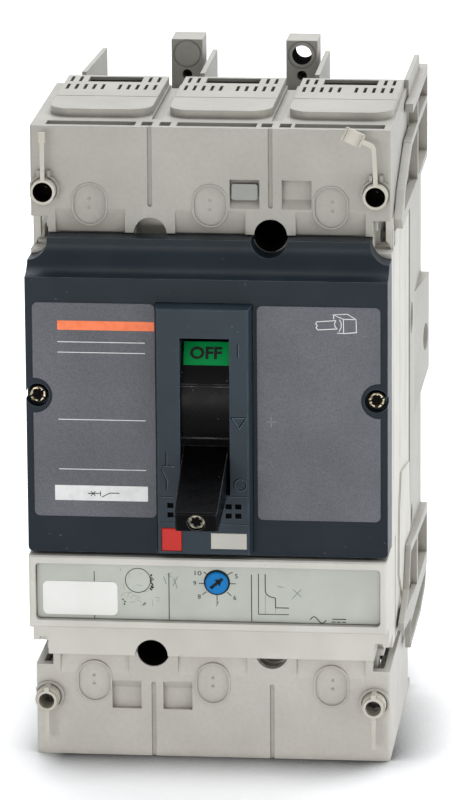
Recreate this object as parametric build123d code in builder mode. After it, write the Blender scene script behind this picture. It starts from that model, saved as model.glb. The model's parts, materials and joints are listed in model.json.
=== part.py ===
from build123d import *
import math
import os

os.makedirs("parts", exist_ok=True)

# Frame: x to the right, front towards -y, z up; the back face of the rear base lies on y = 0
# and z = 0 is the mid-height of the breaker. Depths are counted forward from the back face.
pole_pitch = 35.0
pole_places = (-pole_pitch, 0.0, pole_pitch)
wall_places = (-pole_pitch / 2, pole_pitch / 2)
fit_gap = 0.15

# Depths
base_depth = 45.0
case_depth = 66.0
case_front = base_depth + case_depth
cover_depth = 15.0
cover_face = case_front + cover_depth
cover_band = 8.0
escutcheon_rise = 5.0
escutcheon_face = cover_face + escutcheon_rise
trip_rise = 2.0
trip_face = cover_face + trip_rise
trip_sink = 3.0
trip_back = cover_face - 29.0
ledge_drop = 6.0
ledge_face = cover_face - ledge_drop
case_end_front = case_front - 3.0
upper_face = case_front + 1.0
lower_face = case_front + 4.0

# Widths
case_width = 3 * pole_pitch
shield_width = case_width - 0.5
shield_wall = 2.0
shield_front_wall = 3.0
case_end_width = shield_width - 2 * shield_wall - 0.9
base_width = case_width + 0.8
rail_inner = case_width / 2 - 2.5
wing_rise = 2.0
bump_rise = 2.5
wing_inner = case_width / 2 + 0.05
pocket_floor = base_width / 2 - 0.7

# Heights
hole_z = 62.5
cover_top = hole_z - 0.1
case_top = cover_top - 1.2
cover_bend = cover_top - 9.9
cover_bottom = -29.6
trip_gap = 0.8
trip_height = 21.8
trip_top = cover_bottom - trip_gap
trip_bottom = trip_top - trip_height
ledge_bottom = -hole_z - 0.1
case_half_height = hole_z + 18.0
shield_overhang = 13.5
shield_end = case_half_height + shield_overhang
lower_extra = 0.8
lower_end = shield_end + lower_extra
shield_edge = hole_z + 4.8
skirt_edge = hole_z + 0.2
skirt_half_width = case_width / 2 - 5.3

# Terminal bays in the ends of the case
bay_width = pole_pitch - 9.0
bay_length = 15.0
bay_front = case_end_front - 10.0
bay_back = 60.0
terminal_width = bay_width - 6.0
terminal_thickness = 4.0
terminal_reach = 6.0
terminal_hole_radius = 4.3

# Mounting holes of the breaker, one diagonal pair open and the other blind
hole_radius = 4.8
screw_hole_radius = 3.0
seat_depth = 55.0
blind_depth = 6.0

# Front cover details
cover_notch_radius = 5.6
cover_notch_drop = 0.8
cover_corner_radius = 1.5
cover_screw_inset = 3.3
cover_screw_x = case_width / 2 - cover_screw_inset
cover_screw_z = 17.4
cover_screw_radius = 2.75
cover_screw_well = 3.45
cover_screw_depth = 3.5

# Escutcheon, labels and small tiles
escutcheon_half_width = 13.3
escutcheon_shift = -0.6
escutcheon_slope = 0.7
escutcheon_top = cover_bend - 7.7
escutcheon_bottom = cover_bottom + 1.6
label_thickness = 0.3
label_gap = 1.45
label_margin = 2.1
label_left = escutcheon_half_width + label_gap
label_right = case_width / 2 - label_margin
label_top = escutcheon_top + 0.3
label_bottom = escutcheon_bottom + 9.3
label_notch = 5.2
badge_width = 10.4
badge_height = 4.7
badge_x = 6.75
badge_z = escutcheon_bottom + 4.0
badge_sink = 0.8

# Toggle, in the off position when the part is at rest
pivot_depth = cover_face - 40.0
pivot_z = 13.0
toggle_angle = 19.4
toggle_reach = 74.2
root_width = 13.1
root_height = 12.6
root_drop = 1.5
tip_width = 12.2
tip_height = 6.3
tip_fillet = 0.8
toggle_screw_well = 2.6
toggle_screw_depth = 1.6
slot_half_width = 7.2
slot_half_height = 23.3
cavity_radius = escutcheon_face - pivot_depth - 1.4
cavity_width = 18.0
shutter_radius = cavity_radius - 1.2
shutter_thickness = 1.6
shutter_half_angle = 48.5
shutter_width = cavity_width - 2.4
cheek_width = 6.0
cheek_thickness = 2.0
hub_radius = 5.0
pin_radius = 2.0
pin_length = cavity_width + 8.0
pin_gap = 0.05
flag_rise = 0.3
flag_width = 13.2
flag_low = 19.5
flag_high = 28.8

# Dial and trip button
dial_x = 2.6
dial_z = trip_top - 7.6
dial_radius = 3.3
dial_gap = 0.06
dial_proud = 1.9
dial_length = 7.0
panel_thickness = 0.8
panel_margin = 2.1
button_x = -9.9
button_z = escutcheon_bottom + 4.2
button_width = 5.8
button_height = 6.8
button_travel = 2.0
button_length = 8.0
button_proud = 0.2

# Shields
boss_inset = 4.1
boss_x = shield_width / 2 - boss_inset
boss_radius = 4.5
boss_height = 1.3
boss_bore = 3.85
boss_drop = 18.7
upper_boss_z = shield_end - boss_drop
lower_boss_z = -shield_end + boss_drop - 1.5
lower_boss_shift = -0.4
ear_width = 3.9
ear_height = 1.6
ear_rise = 2.2
window_drop = 0.7
seal_radius = 3.75
seal_hole_radius = 3.0
seal_lower_hole_radius = 2.3
seal_height = 0.5
upper_tube_reach = 4.6
lower_tube_reach = 6.4
lower_collar_reach = 4.9
seal_ring_wall = 0.7
seal_collar_radius = 3.5
seal_key_width = 1.4
seal_strip_width = 1.2
seal_strip_thickness = 0.9
seal_screw_radius = 2.8
seal_screw_height = 1.6
pad_height = 2.45
pad_width = pole_pitch - 5.0
pad_front = 99.0
pad_fold = 80.5
pad_corner = 6.5
pad_shift = 1.5
channel_shift = 0.9
channel_width = 3.0
channel_depth = 1.2
upper_shield_back = base_depth + 5.8
lower_lip_back = base_depth - 7.0
vent_width = 0.95
vent_length = 7.2
vent_pitch = 2.6
vent_offset = 2.5
vent_shift = 1.2
window_width = 16.0
slot_length = 5.2
vent_y = -67.3
window_y = -56.3
upper_oval_z = hole_z + 8.6
lower_oval_z = hole_z + 9.7
lower_window_shift = -0.5
relief_depth = 1.3
relief_length = 7.0
tab_half_width = 7.3
groove_width = 1.3
groove_depth = 0.6
oval_half_width = 4.7
oval_half_height = 5.9
oval_depth = 0.5
oval_rim = 0.45
oval_rim_height = 0.25
window_half = 4.3
window_depth = 2.0
window_slope = 2.6

# Rear base
base_center = 7.5
base_half_height = 77.0
base_bay_width = pole_pitch - 11.0
base_bay_length = 26.0
post_half_width = 4.75
post_rise = 15.4
post_front = 11.5
post_rim_radius = 4.4
post_rim_depth = 0.3
post_hole_drop = 4.5
post_hole_radius = 3.0
post_pin_radius = 1.5
post_pin_drop = 10.8
post_pin_depth = 9.0
post_top = base_center + base_half_height + post_rise
post_hole_z = post_top - post_hole_drop
fin_thickness = 1.4
fin_offset = 9.2
fin_shifts = (0.9, -0.2, -0.7)
fin_turns = (-2.8, 0.0, 0.0)
fin_top = base_center + base_half_height + 10.1
bar_width = base_bay_width - 8.0
bar_thickness = 4.0
bar_length = 20.0


def front_plane(depth):
    """Plane parallel to the front, that far in front of the back face."""
    return Plane.XZ.offset(depth)


def toggle_plane(radius, angle):
    """Plane across the toggle at a distance from its pivot, turned down by an angle."""
    turn = math.radians(angle)
    out = Vector(0, -math.cos(turn), -math.sin(turn))
    return Plane(origin=Vector(0, -pivot_depth, pivot_z) + out * radius, x_dir=(1, 0, 0), z_dir=out)


def add_box(x_range, y_range, z_range, mode=Mode.ADD):
    """Adds or cuts a box between pairs of coordinates in the current part."""
    middle = [(low + high) / 2 for low, high in (x_range, y_range, z_range)]
    sides = [abs(high - low) for low, high in (x_range, y_range, z_range)]
    with Locations(tuple(middle)):
        Box(*sides, mode=mode)


def turned_point(radius, angle):
    """Point of the side view at a distance and an angle up from the pivot."""
    turn = math.radians(180 - angle)
    return (-pivot_depth + radius * math.cos(turn), pivot_z + radius * math.sin(turn))


# Breaker case with a terminal bay at each end of each pole
with BuildPart() as case:
    add_box(
        (-case_width / 2, case_width / 2), (-case_front, -base_depth), (ledge_bottom, case_top)
    )
    add_box(
        (-case_end_width / 2, case_end_width / 2), (-case_end_front, -base_depth),
        (-case_half_height, case_half_height),
    )
    # Long raised pad with tapering ends on each side
    for side in (-1, 1):
        start = case_width / 2 - 1 if side > 0 else -case_width / 2 - 0.6
        with BuildSketch(Plane.YZ.offset(start)):
            with BuildLine():
                Polyline(
                    (-80, -16), (-50, -21), (-47, -46), (-47, -60), (-70, -61), (-89, -45), (-87, -26),
                    (-80, -16),
                )
            make_face()
        extrude(amount=1.6)
    # Room for the trip unit in front
    add_box(
        (-case_width / 2, case_width / 2), (-case_front, -trip_back), (ledge_bottom, trip_top),
        mode=Mode.SUBTRACT,
    )
    # Stepped corners beside the upper shield
    for side in (-1, 1):
        outer = side * (case_width / 2 + 1)
        inner = side * (case_width / 2 - 5.5)
        add_box(
            sorted((inner, outer)), (-case_front, -case_front + 13), (cover_top - 5, cover_top + 1),
            mode=Mode.SUBTRACT,
        )
        # Deep slots above and below, seen past the corners of the cover and of the trip unit
        add_box(
            sorted((side * (case_width / 2 - 4.4), side * (case_width / 2 - 2.4))),
            (-case_front - 1, -case_front + 28), (cover_top - 4.6, shield_edge + 3), mode=Mode.SUBTRACT,
        )
        add_box(
            sorted((side * (case_width / 2 - 4.5), side * (case_width / 2 - 2.6))),
            (-case_front - 1, -case_front + 24), (-shield_edge - 3, ledge_bottom - 2), mode=Mode.SUBTRACT,
        )
        # Small rounded lug beside the slot
        lug_inner = side * (case_width / 2 - 2.2)
        lug_outer = side * case_width / 2
        lug_foot = side * (case_width / 2 - 0.9)
        with BuildSketch(front_plane(case_front - 6)):
            with BuildLine():
                Polyline(
                    (lug_foot, cover_top - 5), (lug_foot, cover_top - 6), (lug_outer, cover_top - 6),
                    (lug_outer, cover_top + 4.6), (lug_inner, cover_top + 4.6), (lug_inner, cover_top - 2.6),
                )
                RadiusArc((lug_inner, cover_top - 2.6), (lug_foot, cover_top - 5), side * 2.6)
            make_face()
        extrude(amount=-3)
        # Shallow upright grooves along the side
        for groove in (case_front - 6, case_front - 31, base_depth + 12):
            add_box(
                sorted((side * (case_width / 2 - 0.4), side * (case_width / 2 + 1))),
                (-groove - 0.4, -groove + 0.4), (-12, cover_top + 1), mode=Mode.SUBTRACT,
            )
    for end in (-1, 1):
        for pole in pole_places:
            add_box(
                (pole - bay_width / 2, pole + bay_width / 2), (-bay_front, -bay_back),
                (end * (case_half_height - bay_length), end * case_half_height), mode=Mode.SUBTRACT,
            )
    with Locations((0, -pivot_depth, pivot_z)):
        Cylinder(cavity_radius, cavity_width, rotation=(0, 90, 0), mode=Mode.SUBTRACT)
        Cylinder(pin_radius, pin_length, rotation=(0, 90, 0), mode=Mode.SUBTRACT)
    with BuildSketch(front_plane(case_front + 1)):
        with Locations((wall_places[1], hole_z), (wall_places[0], -hole_z)):
            Circle(hole_radius)
    extrude(amount=-(case_front + 1 - seat_depth), mode=Mode.SUBTRACT)
    with BuildSketch(front_plane(case_front + 1)):
        with Locations((wall_places[1], hole_z), (wall_places[0], -hole_z)):
            Circle(screw_hole_radius)
    extrude(amount=-(case_depth + 2), mode=Mode.SUBTRACT)
    with BuildSketch(front_plane(case_front + 1)):
        with Locations((wall_places[0], hole_z), (wall_places[1], -hole_z)):
            Circle(hole_radius)
    extrude(amount=-(case_front + 1 - case_end_front + blind_depth), mode=Mode.SUBTRACT)
case.part.label = "case"
export_step(case.part, "parts/case.step")

# Dark front cover with a hollowed band along its top
with BuildPart() as front_cover:
    with BuildSketch(Plane.YZ.offset(-case_width / 2)):
        with BuildLine():
            Polyline(
                (-case_front, cover_bottom), (-cover_face, cover_bottom), (-cover_face, cover_bend)
            )
            RadiusArc(
                (-cover_face, cover_bend), (-cover_face + cover_band, cover_bend + cover_band),
                -cover_band,
            )
            Polyline(
                (-cover_face + cover_band, cover_bend + cover_band),
                (-cover_face + cover_band, cover_top), (-case_front, cover_top),
                (-case_front, cover_bottom),
            )
        make_face()
    extrude(amount=case_width)
    low_corners = front_cover.edges().filter_by(Axis.Y).sort_by(Axis.Z)[0:2]
    fillet(low_corners, cover_corner_radius)
    with BuildSketch(front_plane(cover_face + 1)):
        with Locations((escutcheon_shift, (escutcheon_top + escutcheon_bottom) / 2)):
            Rectangle(
                2 * (escutcheon_half_width + escutcheon_slope + fit_gap),
                escutcheon_top - escutcheon_bottom + 2 * (escutcheon_slope + fit_gap),
            )
        with Locations(
            (-case_width / 2, cover_top - cover_notch_drop), (case_width / 2, cover_top - cover_notch_drop)
        ):
            Circle(cover_notch_radius)
        with Locations((wall_places[1], hole_z)):
            Circle(hole_radius + 0.4)
    extrude(amount=-(cover_depth + 2), mode=Mode.SUBTRACT)
    with BuildSketch(front_plane(cover_face)):
        with Locations((-cover_screw_x, cover_screw_z), (cover_screw_x, cover_screw_z)):
            Circle(cover_screw_well)
    extrude(amount=-cover_screw_depth, mode=Mode.SUBTRACT)
    with Locations((0, -pivot_depth, pivot_z)):
        Cylinder(cavity_radius, cavity_width, rotation=(0, 90, 0), mode=Mode.SUBTRACT)
front_cover.part.label = "front_cover"
export_step(front_cover.part, "parts/front_cover.step")

# Raised frame round the toggle slot, with sides that slope in towards its front
side_taper = math.degrees(math.atan(escutcheon_slope / escutcheon_rise))
with BuildPart() as escutcheon:
    with BuildSketch(front_plane(cover_face)):
        with Locations((escutcheon_shift, (escutcheon_top + escutcheon_bottom) / 2)):
            Rectangle(
                2 * (escutcheon_half_width + escutcheon_slope),
                escutcheon_top - escutcheon_bottom + 2 * escutcheon_slope,
            )
    extrude(amount=escutcheon_rise, taper=side_taper)
    with BuildSketch(front_plane(case_front)):
        with Locations((escutcheon_shift, (escutcheon_top + escutcheon_bottom) / 2)):
            Rectangle(
                2 * (escutcheon_half_width + escutcheon_slope),
                escutcheon_top - escutcheon_bottom + 2 * escutcheon_slope,
            )
    extrude(amount=cover_depth)
    chamfer(escutcheon.faces().sort_by(Axis.Y)[0].edges(), 0.3)
    with Locations((0, -pivot_depth, pivot_z)):
        Cylinder(cavity_radius, cavity_width, rotation=(0, 90, 0), mode=Mode.SUBTRACT)
    with BuildSketch(front_plane(escutcheon_face + 1)):
        with Locations((0, pivot_z)):
            Rectangle(2 * slot_half_width, 2 * slot_half_height)
    extrude(amount=-(escutcheon_face - case_front + 2), mode=Mode.SUBTRACT)
    with BuildSketch(front_plane(escutcheon_face)):
        with Locations((button_x, button_z)):
            Rectangle(button_width + 2 * fit_gap, button_height + 2 * fit_gap)
    extrude(amount=-(button_length + button_travel + 1), mode=Mode.SUBTRACT)
    # Two rows of small square vents on each side, and the seat of the tile
    with BuildSketch(front_plane(escutcheon_face)):
        for row in (badge_z + 10.4, badge_z + 7.6):
            with Locations((-10.2, row), (3.7, row), (6.7, row), (9.5, row)):
                Rectangle(1.9, 1.6)
    extrude(amount=-1.2, mode=Mode.SUBTRACT)
    with BuildSketch(front_plane(escutcheon_face)):
        with Locations((badge_x, badge_z)):
            Rectangle(badge_width + fit_gap, badge_height + fit_gap)
    extrude(amount=-badge_sink, mode=Mode.SUBTRACT)
escutcheon.part.label = "escutcheon"
export_step(escutcheon.part, "parts/escutcheon.step")

# Label plates left and right of the toggle
for side, name in ((-1, "left_label"), (1, "right_label")):
    with BuildPart() as label_plate:
        with BuildSketch(front_plane(cover_face)):
            with Locations((side * (label_left + label_right) / 2, (label_top + label_bottom) / 2)):
                RectangleRounded(label_right - label_left, label_top - label_bottom, 1.6)
            with Locations((side * (cover_screw_x + 0.8), cover_screw_z)):
                Circle(label_notch, mode=Mode.SUBTRACT)
        extrude(amount=label_thickness)
    label_plate.part.label = name
    export_step(label_plate.part, f"parts/{name}.step")

# Small plain tile beside the trip button
with BuildPart() as badge:
    with BuildSketch(front_plane(escutcheon_face - badge_sink)):
        with Locations((badge_x, badge_z)):
            Rectangle(badge_width, badge_height)
    extrude(amount=badge_sink + 0.1)
badge.part.label = "badge"
export_step(badge.part, "parts/badge.step")

# Trip unit: a frame with a sunk panel above a plain ledge, crossed by the lower mounting holes
with BuildPart() as trip_unit:
    add_box(
        (-case_width / 2 + 0.2, case_width / 2 - 0.2), (-trip_face, -trip_back), (trip_bottom, trip_top)
    )
    chamfer(trip_unit.faces().sort_by(Axis.Y)[0].edges(), 0.5)
    add_box(
        (-case_width / 2 + 0.2, case_width / 2 - 0.2), (-ledge_face, -trip_back),
        (ledge_bottom, trip_bottom),
    )
    # The ledge is narrower below, where the lower shield's corners rise beside it
    for side in (-1, 1):
        add_box(
            sorted((side * (case_width / 2 - 4.6), side * case_width)),
            (-ledge_face - 1, -trip_back - 9), (ledge_bottom - 1, trip_bottom - 6.2),
            mode=Mode.SUBTRACT,
        )
    with BuildSketch(front_plane(trip_face)):
        with Locations((0, (trip_top + trip_bottom) / 2)):
            RectangleRounded(
                case_width - 2 * panel_margin, trip_height - 2 * panel_margin - 0.4, 1.2
            )
    extrude(amount=-trip_sink, mode=Mode.SUBTRACT)
    with BuildSketch(front_plane(trip_face - trip_sink)):
        with Locations((dial_x, dial_z)):
            Circle(dial_radius + dial_gap)
    extrude(amount=-(dial_length - dial_proud + 0.3), mode=Mode.SUBTRACT)
    with BuildSketch(front_plane(ledge_face)):
        with Locations((wall_places[0], -hole_z)):
            Circle(hole_radius)
    extrude(amount=-(ledge_face - trip_back), mode=Mode.SUBTRACT)
    for side in (-1, 1):
        add_box(
            sorted((side * (case_width / 2 - 4.2), side * (case_width / 2 - 2.0))),
            (-ledge_face, -trip_back), (ledge_bottom + 2.2, ledge_bottom + 5.2), mode=Mode.SUBTRACT,
        )
trip_unit.part.label = "trip_unit"
export_step(trip_unit.part, "parts/trip_unit.step")

with BuildPart() as trip_panel:
    with BuildSketch(front_plane(trip_face - trip_sink)):
        with Locations((0, (trip_top + trip_bottom) / 2)):
            RectangleRounded(
                case_width - 2 * panel_margin - 0.4, trip_height - 2 * panel_margin - 0.8, 1.0
            )
        with Locations((dial_x, dial_z)):
            Circle(dial_radius + 0.3, mode=Mode.SUBTRACT)
    extrude(amount=panel_thickness)
trip_panel.part.label = "trip_panel"
export_step(trip_panel.part, "parts/trip_panel.step")

with BuildPart() as rating_sticker:
    with BuildSketch(front_plane(trip_face - trip_sink + panel_thickness)):
        with Locations((-case_width / 2 + 15, trip_bottom + 8.6)):
            RectangleRounded(22.0, 10.2, 1.6)
    extrude(amount=0.15)
rating_sticker.part.label = "rating_sticker"
export_step(rating_sticker.part, "parts/rating_sticker.step")

# Blue adjusting dial with an arrow-shaped slot
with BuildPart() as dial:
    with BuildSketch(front_plane(trip_face - trip_sink + dial_proud)):
        with Locations((dial_x, dial_z)):
            Circle(dial_radius)
    extrude(amount=-dial_length)
    chamfer(dial.edges().sort_by(Axis.Y)[0], 0.3)
    with BuildSketch(front_plane(trip_face - trip_sink + dial_proud)):
        with Locations(Location((dial_x, dial_z), 40)):
            Rectangle(4.6, 0.9)
            with Locations((1.1, 0)):
                Polygon((-0.9, 1.2), (1.2, 0), (-0.9, -1.2), align=None)
    extrude(amount=-0.8, mode=Mode.SUBTRACT)
dial.part.label = "dial"
export_step(dial.part, "parts/dial.step")

# Red push-to-trip button
with BuildPart() as trip_button:
    with BuildSketch(front_plane(escutcheon_face + button_proud)):
        with Locations((button_x, button_z)):
            Rectangle(button_width, button_height)
    extrude(amount=-button_length)
    chamfer(trip_button.faces().sort_by(Axis.Y)[0].edges(), 0.25)
trip_button.part.label = "trip_button"
export_step(trip_button.part, "parts/trip_button.step")

# Toggle handle: a tapering block lofted between planes turned about the pivot
with BuildPart() as toggle:
    with BuildSketch(toggle_plane(shutter_radius, toggle_angle)):
        with Locations((0, -root_drop)):
            Rectangle(root_width, root_height)
    with BuildSketch(toggle_plane(toggle_reach, toggle_angle)):
        Rectangle(tip_width, tip_height)
    loft()
    fillet(toggle.faces().sort_by(Axis.Y)[0].edges(), tip_fillet)
    with BuildSketch(toggle_plane(toggle_reach, toggle_angle)):
        Circle(toggle_screw_well)
    extrude(amount=-toggle_screw_depth, mode=Mode.SUBTRACT)
toggle.part.label = "toggle"
export_step(toggle.part, "parts/toggle.step")

with BuildPart() as toggle_screw:
    with BuildSketch(toggle_plane(toggle_reach - toggle_screw_depth, toggle_angle)):
        Circle(toggle_screw_well - 0.2)
    extrude(amount=0.9)
    with BuildSketch(toggle_plane(toggle_reach - toggle_screw_depth + 0.9, toggle_angle)):
        Rectangle(3.4, 0.7)
        Rectangle(0.7, 3.4)
    extrude(amount=-0.5, mode=Mode.SUBTRACT)
toggle_screw.part.label = "toggle_screw"
export_step(toggle_screw.part, "parts/toggle_screw.step")

# Curved shutter that closes the slot round the toggle and carries it on the pivot pin
sector_reach = 2 * shutter_radius
with BuildPart() as shutter:
    with BuildSketch(Plane.YZ.offset(-shutter_width / 2)):
        with Locations((-pivot_depth, pivot_z)):
            Circle(shutter_radius)
            Circle(shutter_radius - shutter_thickness, mode=Mode.SUBTRACT)
        with BuildLine():
            Polyline(
                (-pivot_depth, pivot_z),
                turned_point(sector_reach, -toggle_angle + shutter_half_angle),
                turned_point(sector_reach, -toggle_angle),
                turned_point(sector_reach, -toggle_angle - shutter_half_angle),
                (-pivot_depth, pivot_z),
            )
        make_face(mode=Mode.INTERSECT)
    extrude(amount=shutter_width)
    # Low ridges across the shutter, above and below the toggle
    for ridge, height in ((8.3, 2.4), (31.0, 0.7), (-31.0, 0.9)):
        with BuildSketch(toggle_plane(shutter_radius - 0.5, toggle_angle - ridge)):
            Rectangle(shutter_width, height)
        extrude(amount=0.95)
    for side in (-1, 1):
        cheek_middle = side * (shutter_width - cheek_thickness) / 2
        with BuildSketch(Plane.YZ.offset(cheek_middle - cheek_thickness / 2)):
            with Locations((-pivot_depth, pivot_z)):
                Circle(hub_radius)
            with Locations(Location((-pivot_depth, pivot_z), toggle_angle)):
                with Locations((-(shutter_radius - 1) / 2, 0)):
                    Rectangle(shutter_radius - 1, cheek_width)
        extrude(amount=cheek_thickness)
    with Locations((0, -pivot_depth, pivot_z)):
        Cylinder(pin_radius + pin_gap, pin_length, rotation=(0, 90, 0), mode=Mode.SUBTRACT)
shutter.part.label = "shutter"
export_step(shutter.part, "parts/shutter.step")

with BuildPart() as pivot_pin:
    with Locations((0, -pivot_depth, pivot_z)):
        Cylinder(pin_radius, pin_length, rotation=(0, 90, 0))
pivot_pin.part.label = "pivot_pin"
export_step(pivot_pin.part, "parts/pivot_pin.step")

# Green flag on the shutter, seen at the top of the slot while the toggle is off
with BuildPart() as off_flag:
    with BuildSketch(Plane.YZ.offset(-flag_width / 2)):
        with Locations((-pivot_depth, pivot_z)):
            Circle(shutter_radius + flag_rise)
            Circle(shutter_radius, mode=Mode.SUBTRACT)
        with BuildLine():
            Polyline(
                (-pivot_depth, pivot_z), turned_point(sector_reach, flag_low),
                turned_point(sector_reach, flag_high), (-pivot_depth, pivot_z),
            )
        make_face(mode=Mode.INTERSECT)
    extrude(amount=flag_width)
off_flag.part.label = "off_flag"
export_step(off_flag.part, "parts/off_flag.step")

# Cover screws in their wells
for side, name in ((-1, "left_cover_screw"), (1, "right_cover_screw")):
    with BuildPart() as cover_screw:
        with BuildSketch(front_plane(cover_face - cover_screw_depth)):
            with Locations((side * cover_screw_x, cover_screw_z)):
                Circle(cover_screw_radius)
        extrude(amount=2.4)
        chamfer(cover_screw.edges().sort_by(Axis.Y)[0], 0.35)
        with BuildSketch(front_plane(cover_face - cover_screw_depth + 2.4)):
            with Locations(Location((side * cover_screw_x, cover_screw_z), 25)):
                Rectangle(4.0, 0.9)
                Rectangle(0.9, 4.0)
        extrude(amount=-1.3, mode=Mode.SUBTRACT)
    cover_screw.part.label = name
    export_step(cover_screw.part, f"parts/{name}.step")

# Terminal shields: hollow caps with ribs, vents, grooves and sealing bosses.
# Each is drawn with its end upwards; the lower one is then mirrored and has a flat end to stand on.
for end, name in ((1, "upper_shield"), (-1, "lower_shield")):
    face = upper_face if end > 0 else lower_face
    top = shield_end if end > 0 else lower_end
    boss_z = upper_boss_z if end > 0 else -lower_boss_z
    oval_z = upper_oval_z if end > 0 else lower_oval_z
    window_x = wall_places[1] if end > 0 else wall_places[0] + lower_window_shift
    window_z = boss_z - window_drop
    groove_low = window_z - 4
    shift = 0 if end > 0 else lower_boss_shift
    back = upper_shield_back if end > 0 else base_depth
    slot_y = -face + 2.4 + slot_length / 2
    with BuildPart() as shield:
        add_box((-shield_width / 2, shield_width / 2), (-face, -back), (shield_edge, top))
        if end < 0:
            add_box(
                (-shield_width / 2, shield_width / 2), (-back - 1, -lower_lip_back),
                (top - shield_wall, top),
            )
        fillet(shield.edges().filter_by(Axis.Z).sort_by(Axis.Y)[0:2], 0.8)
        add_box(
            (-shield_width / 2 + shield_wall, shield_width / 2 - shield_wall),
            (-face + shield_front_wall, -back + 1), (shield_edge - 1, top - shield_wall),
            mode=Mode.SUBTRACT,
        )
        # Skirt in front of the case end, thinned between the tabs
        add_box(
            (-skirt_half_width, skirt_half_width), (-face, -face + shield_front_wall - 0.2),
            (skirt_edge, shield_edge),
        )
        for low, high in (
            (-skirt_half_width + 2.2, wall_places[0] - tab_half_width),
            (wall_places[0] + tab_half_width, wall_places[1] - tab_half_width),
            (wall_places[1] + tab_half_width, skirt_half_width - 2.2),
        ):
            with BuildSketch(Plane.YZ.offset(low)):
                with BuildLine():
                    Polyline(
                        (-face, skirt_edge), (-face, skirt_edge + relief_length),
                        (-face + relief_depth, skirt_edge), (-face, skirt_edge),
                    )
                make_face()
            extrude(amount=high - low, mode=Mode.SUBTRACT)
        for wall in wall_places:
            add_box(
                (wall - 1, wall + 1), (-face + 1, -back), (case_half_height + 0.2, top - 1),
            )
            # Channel between the poles on the end face
            add_box(
                (wall + channel_shift - channel_width / 2, wall + channel_shift + channel_width / 2),
                (-pad_front - 2, -lower_lip_back + 1), (top - channel_depth, top + 1),
                mode=Mode.SUBTRACT,
            )
        # Raised plate over each pole at the upper end only, with a fine line across it
        if end > 0:
            with BuildSketch(Plane.XY.offset(top)) as pads:
                for pole in pole_places:
                    with Locations((pole + pad_shift, -(pad_front + back) / 2)):
                        Rectangle(pad_width, pad_front - back)
                fillet(pads.vertices().sort_by(Axis.Y)[0:6], pad_corner)
            extrude(amount=pad_height)
            add_box(
                (-case_width / 2, case_width / 2), (-pad_fold - 0.25, -pad_fold + 0.25),
                (top + pad_height - 0.3, top + pad_height + 1), mode=Mode.SUBTRACT,
            )
        # Vents and rear window of each pole, and the row of slots behind the front wall
        with BuildSketch(Plane.XY.offset(top + pad_height + 1)):
            for pole in pole_places:
                middle = pole + vent_shift
                for side in (-1, 1):
                    for step in range(5):
                        with Locations((middle + side * (vent_offset + vent_pitch * step), vent_y)):
                            Rectangle(vent_width, vent_length)
                    for step in (3, 4):
                        with Locations((middle + side * (vent_offset + vent_pitch * step), window_y)):
                            Rectangle(vent_width, vent_length)
                with Locations((middle, window_y)):
                    Rectangle(window_width, vent_length)
            for centre, width in (
                (-pole_pitch, 26.0), (1.6, 23.2), (pole_pitch + 2.2, 26.0),
                (wall_places[0] - 1.2, 3.2), (wall_places[0] + 4.1, 3.2),
                (wall_places[1] - 1.4, 3.2), (wall_places[1] + 4.0, 3.4),
            ):
                with Locations((centre, slot_y)):
                    Rectangle(width, slot_length)
        extrude(amount=-(pad_height + 4), mode=Mode.SUBTRACT)
        # Grooves and windows of the front wall; each window's floor slopes out at its lower side
        with BuildSketch(front_plane(face)):
            for wall in wall_places:
                with Locations((wall, (top + groove_low) / 2 + 1)):
                    SlotOverall(top - groove_low + 2, groove_width, rotation=90)
        extrude(amount=-groove_depth, mode=Mode.SUBTRACT)
        for centre in (window_x - 7.5, window_x + 7.6):
            with BuildSketch(Plane.YZ.offset(centre - window_half)):
                with BuildLine():
                    Polyline(
                        (-face, window_z - window_half), (-face, window_z + window_half),
                        (-face + window_depth, window_z + window_half),
                        (-face + window_depth, window_z - window_half + window_slope),
                        (-face, window_z - window_half),
                    )
                make_face()
            extrude(amount=2 * window_half, mode=Mode.SUBTRACT)
        # Long ovals, level over the thinned zones, each with a low rim
        with BuildSketch(front_plane(face - oval_depth)):
            for pole in pole_places:
                with Locations((pole, oval_z)):
                    SlotOverall(2 * oval_half_height, 2 * oval_half_width, rotation=90)
        extrude(amount=-(relief_depth - oval_depth + 0.6))
        with BuildSketch(front_plane(face + oval_rim_height)):
            for pole in pole_places:
                with Locations((pole, oval_z)):
                    SlotOverall(
                        2 * (oval_half_height + oval_rim), 2 * (oval_half_width + oval_rim), rotation=90
                    )
                    SlotOverall(
                        2 * oval_half_height, 2 * oval_half_width, rotation=90, mode=Mode.SUBTRACT
                    )
        extrude(amount=-(oval_rim_height + relief_depth))
        with BuildSketch(front_plane(face + 1)):
            for pole in pole_places:
                with Locations((pole, oval_z)):
                    SlotOverall(2 * oval_half_height, 2 * oval_half_width, rotation=90)
        extrude(amount=-(1 + oval_depth), mode=Mode.SUBTRACT)
        # Sealing bosses, and the arches over the mounting holes
        with BuildSketch(front_plane(face)):
            with Locations((shift - boss_x, boss_z), (shift + boss_x, boss_z)):
                Circle(boss_radius)
        extrude(amount=boss_height)
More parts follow.
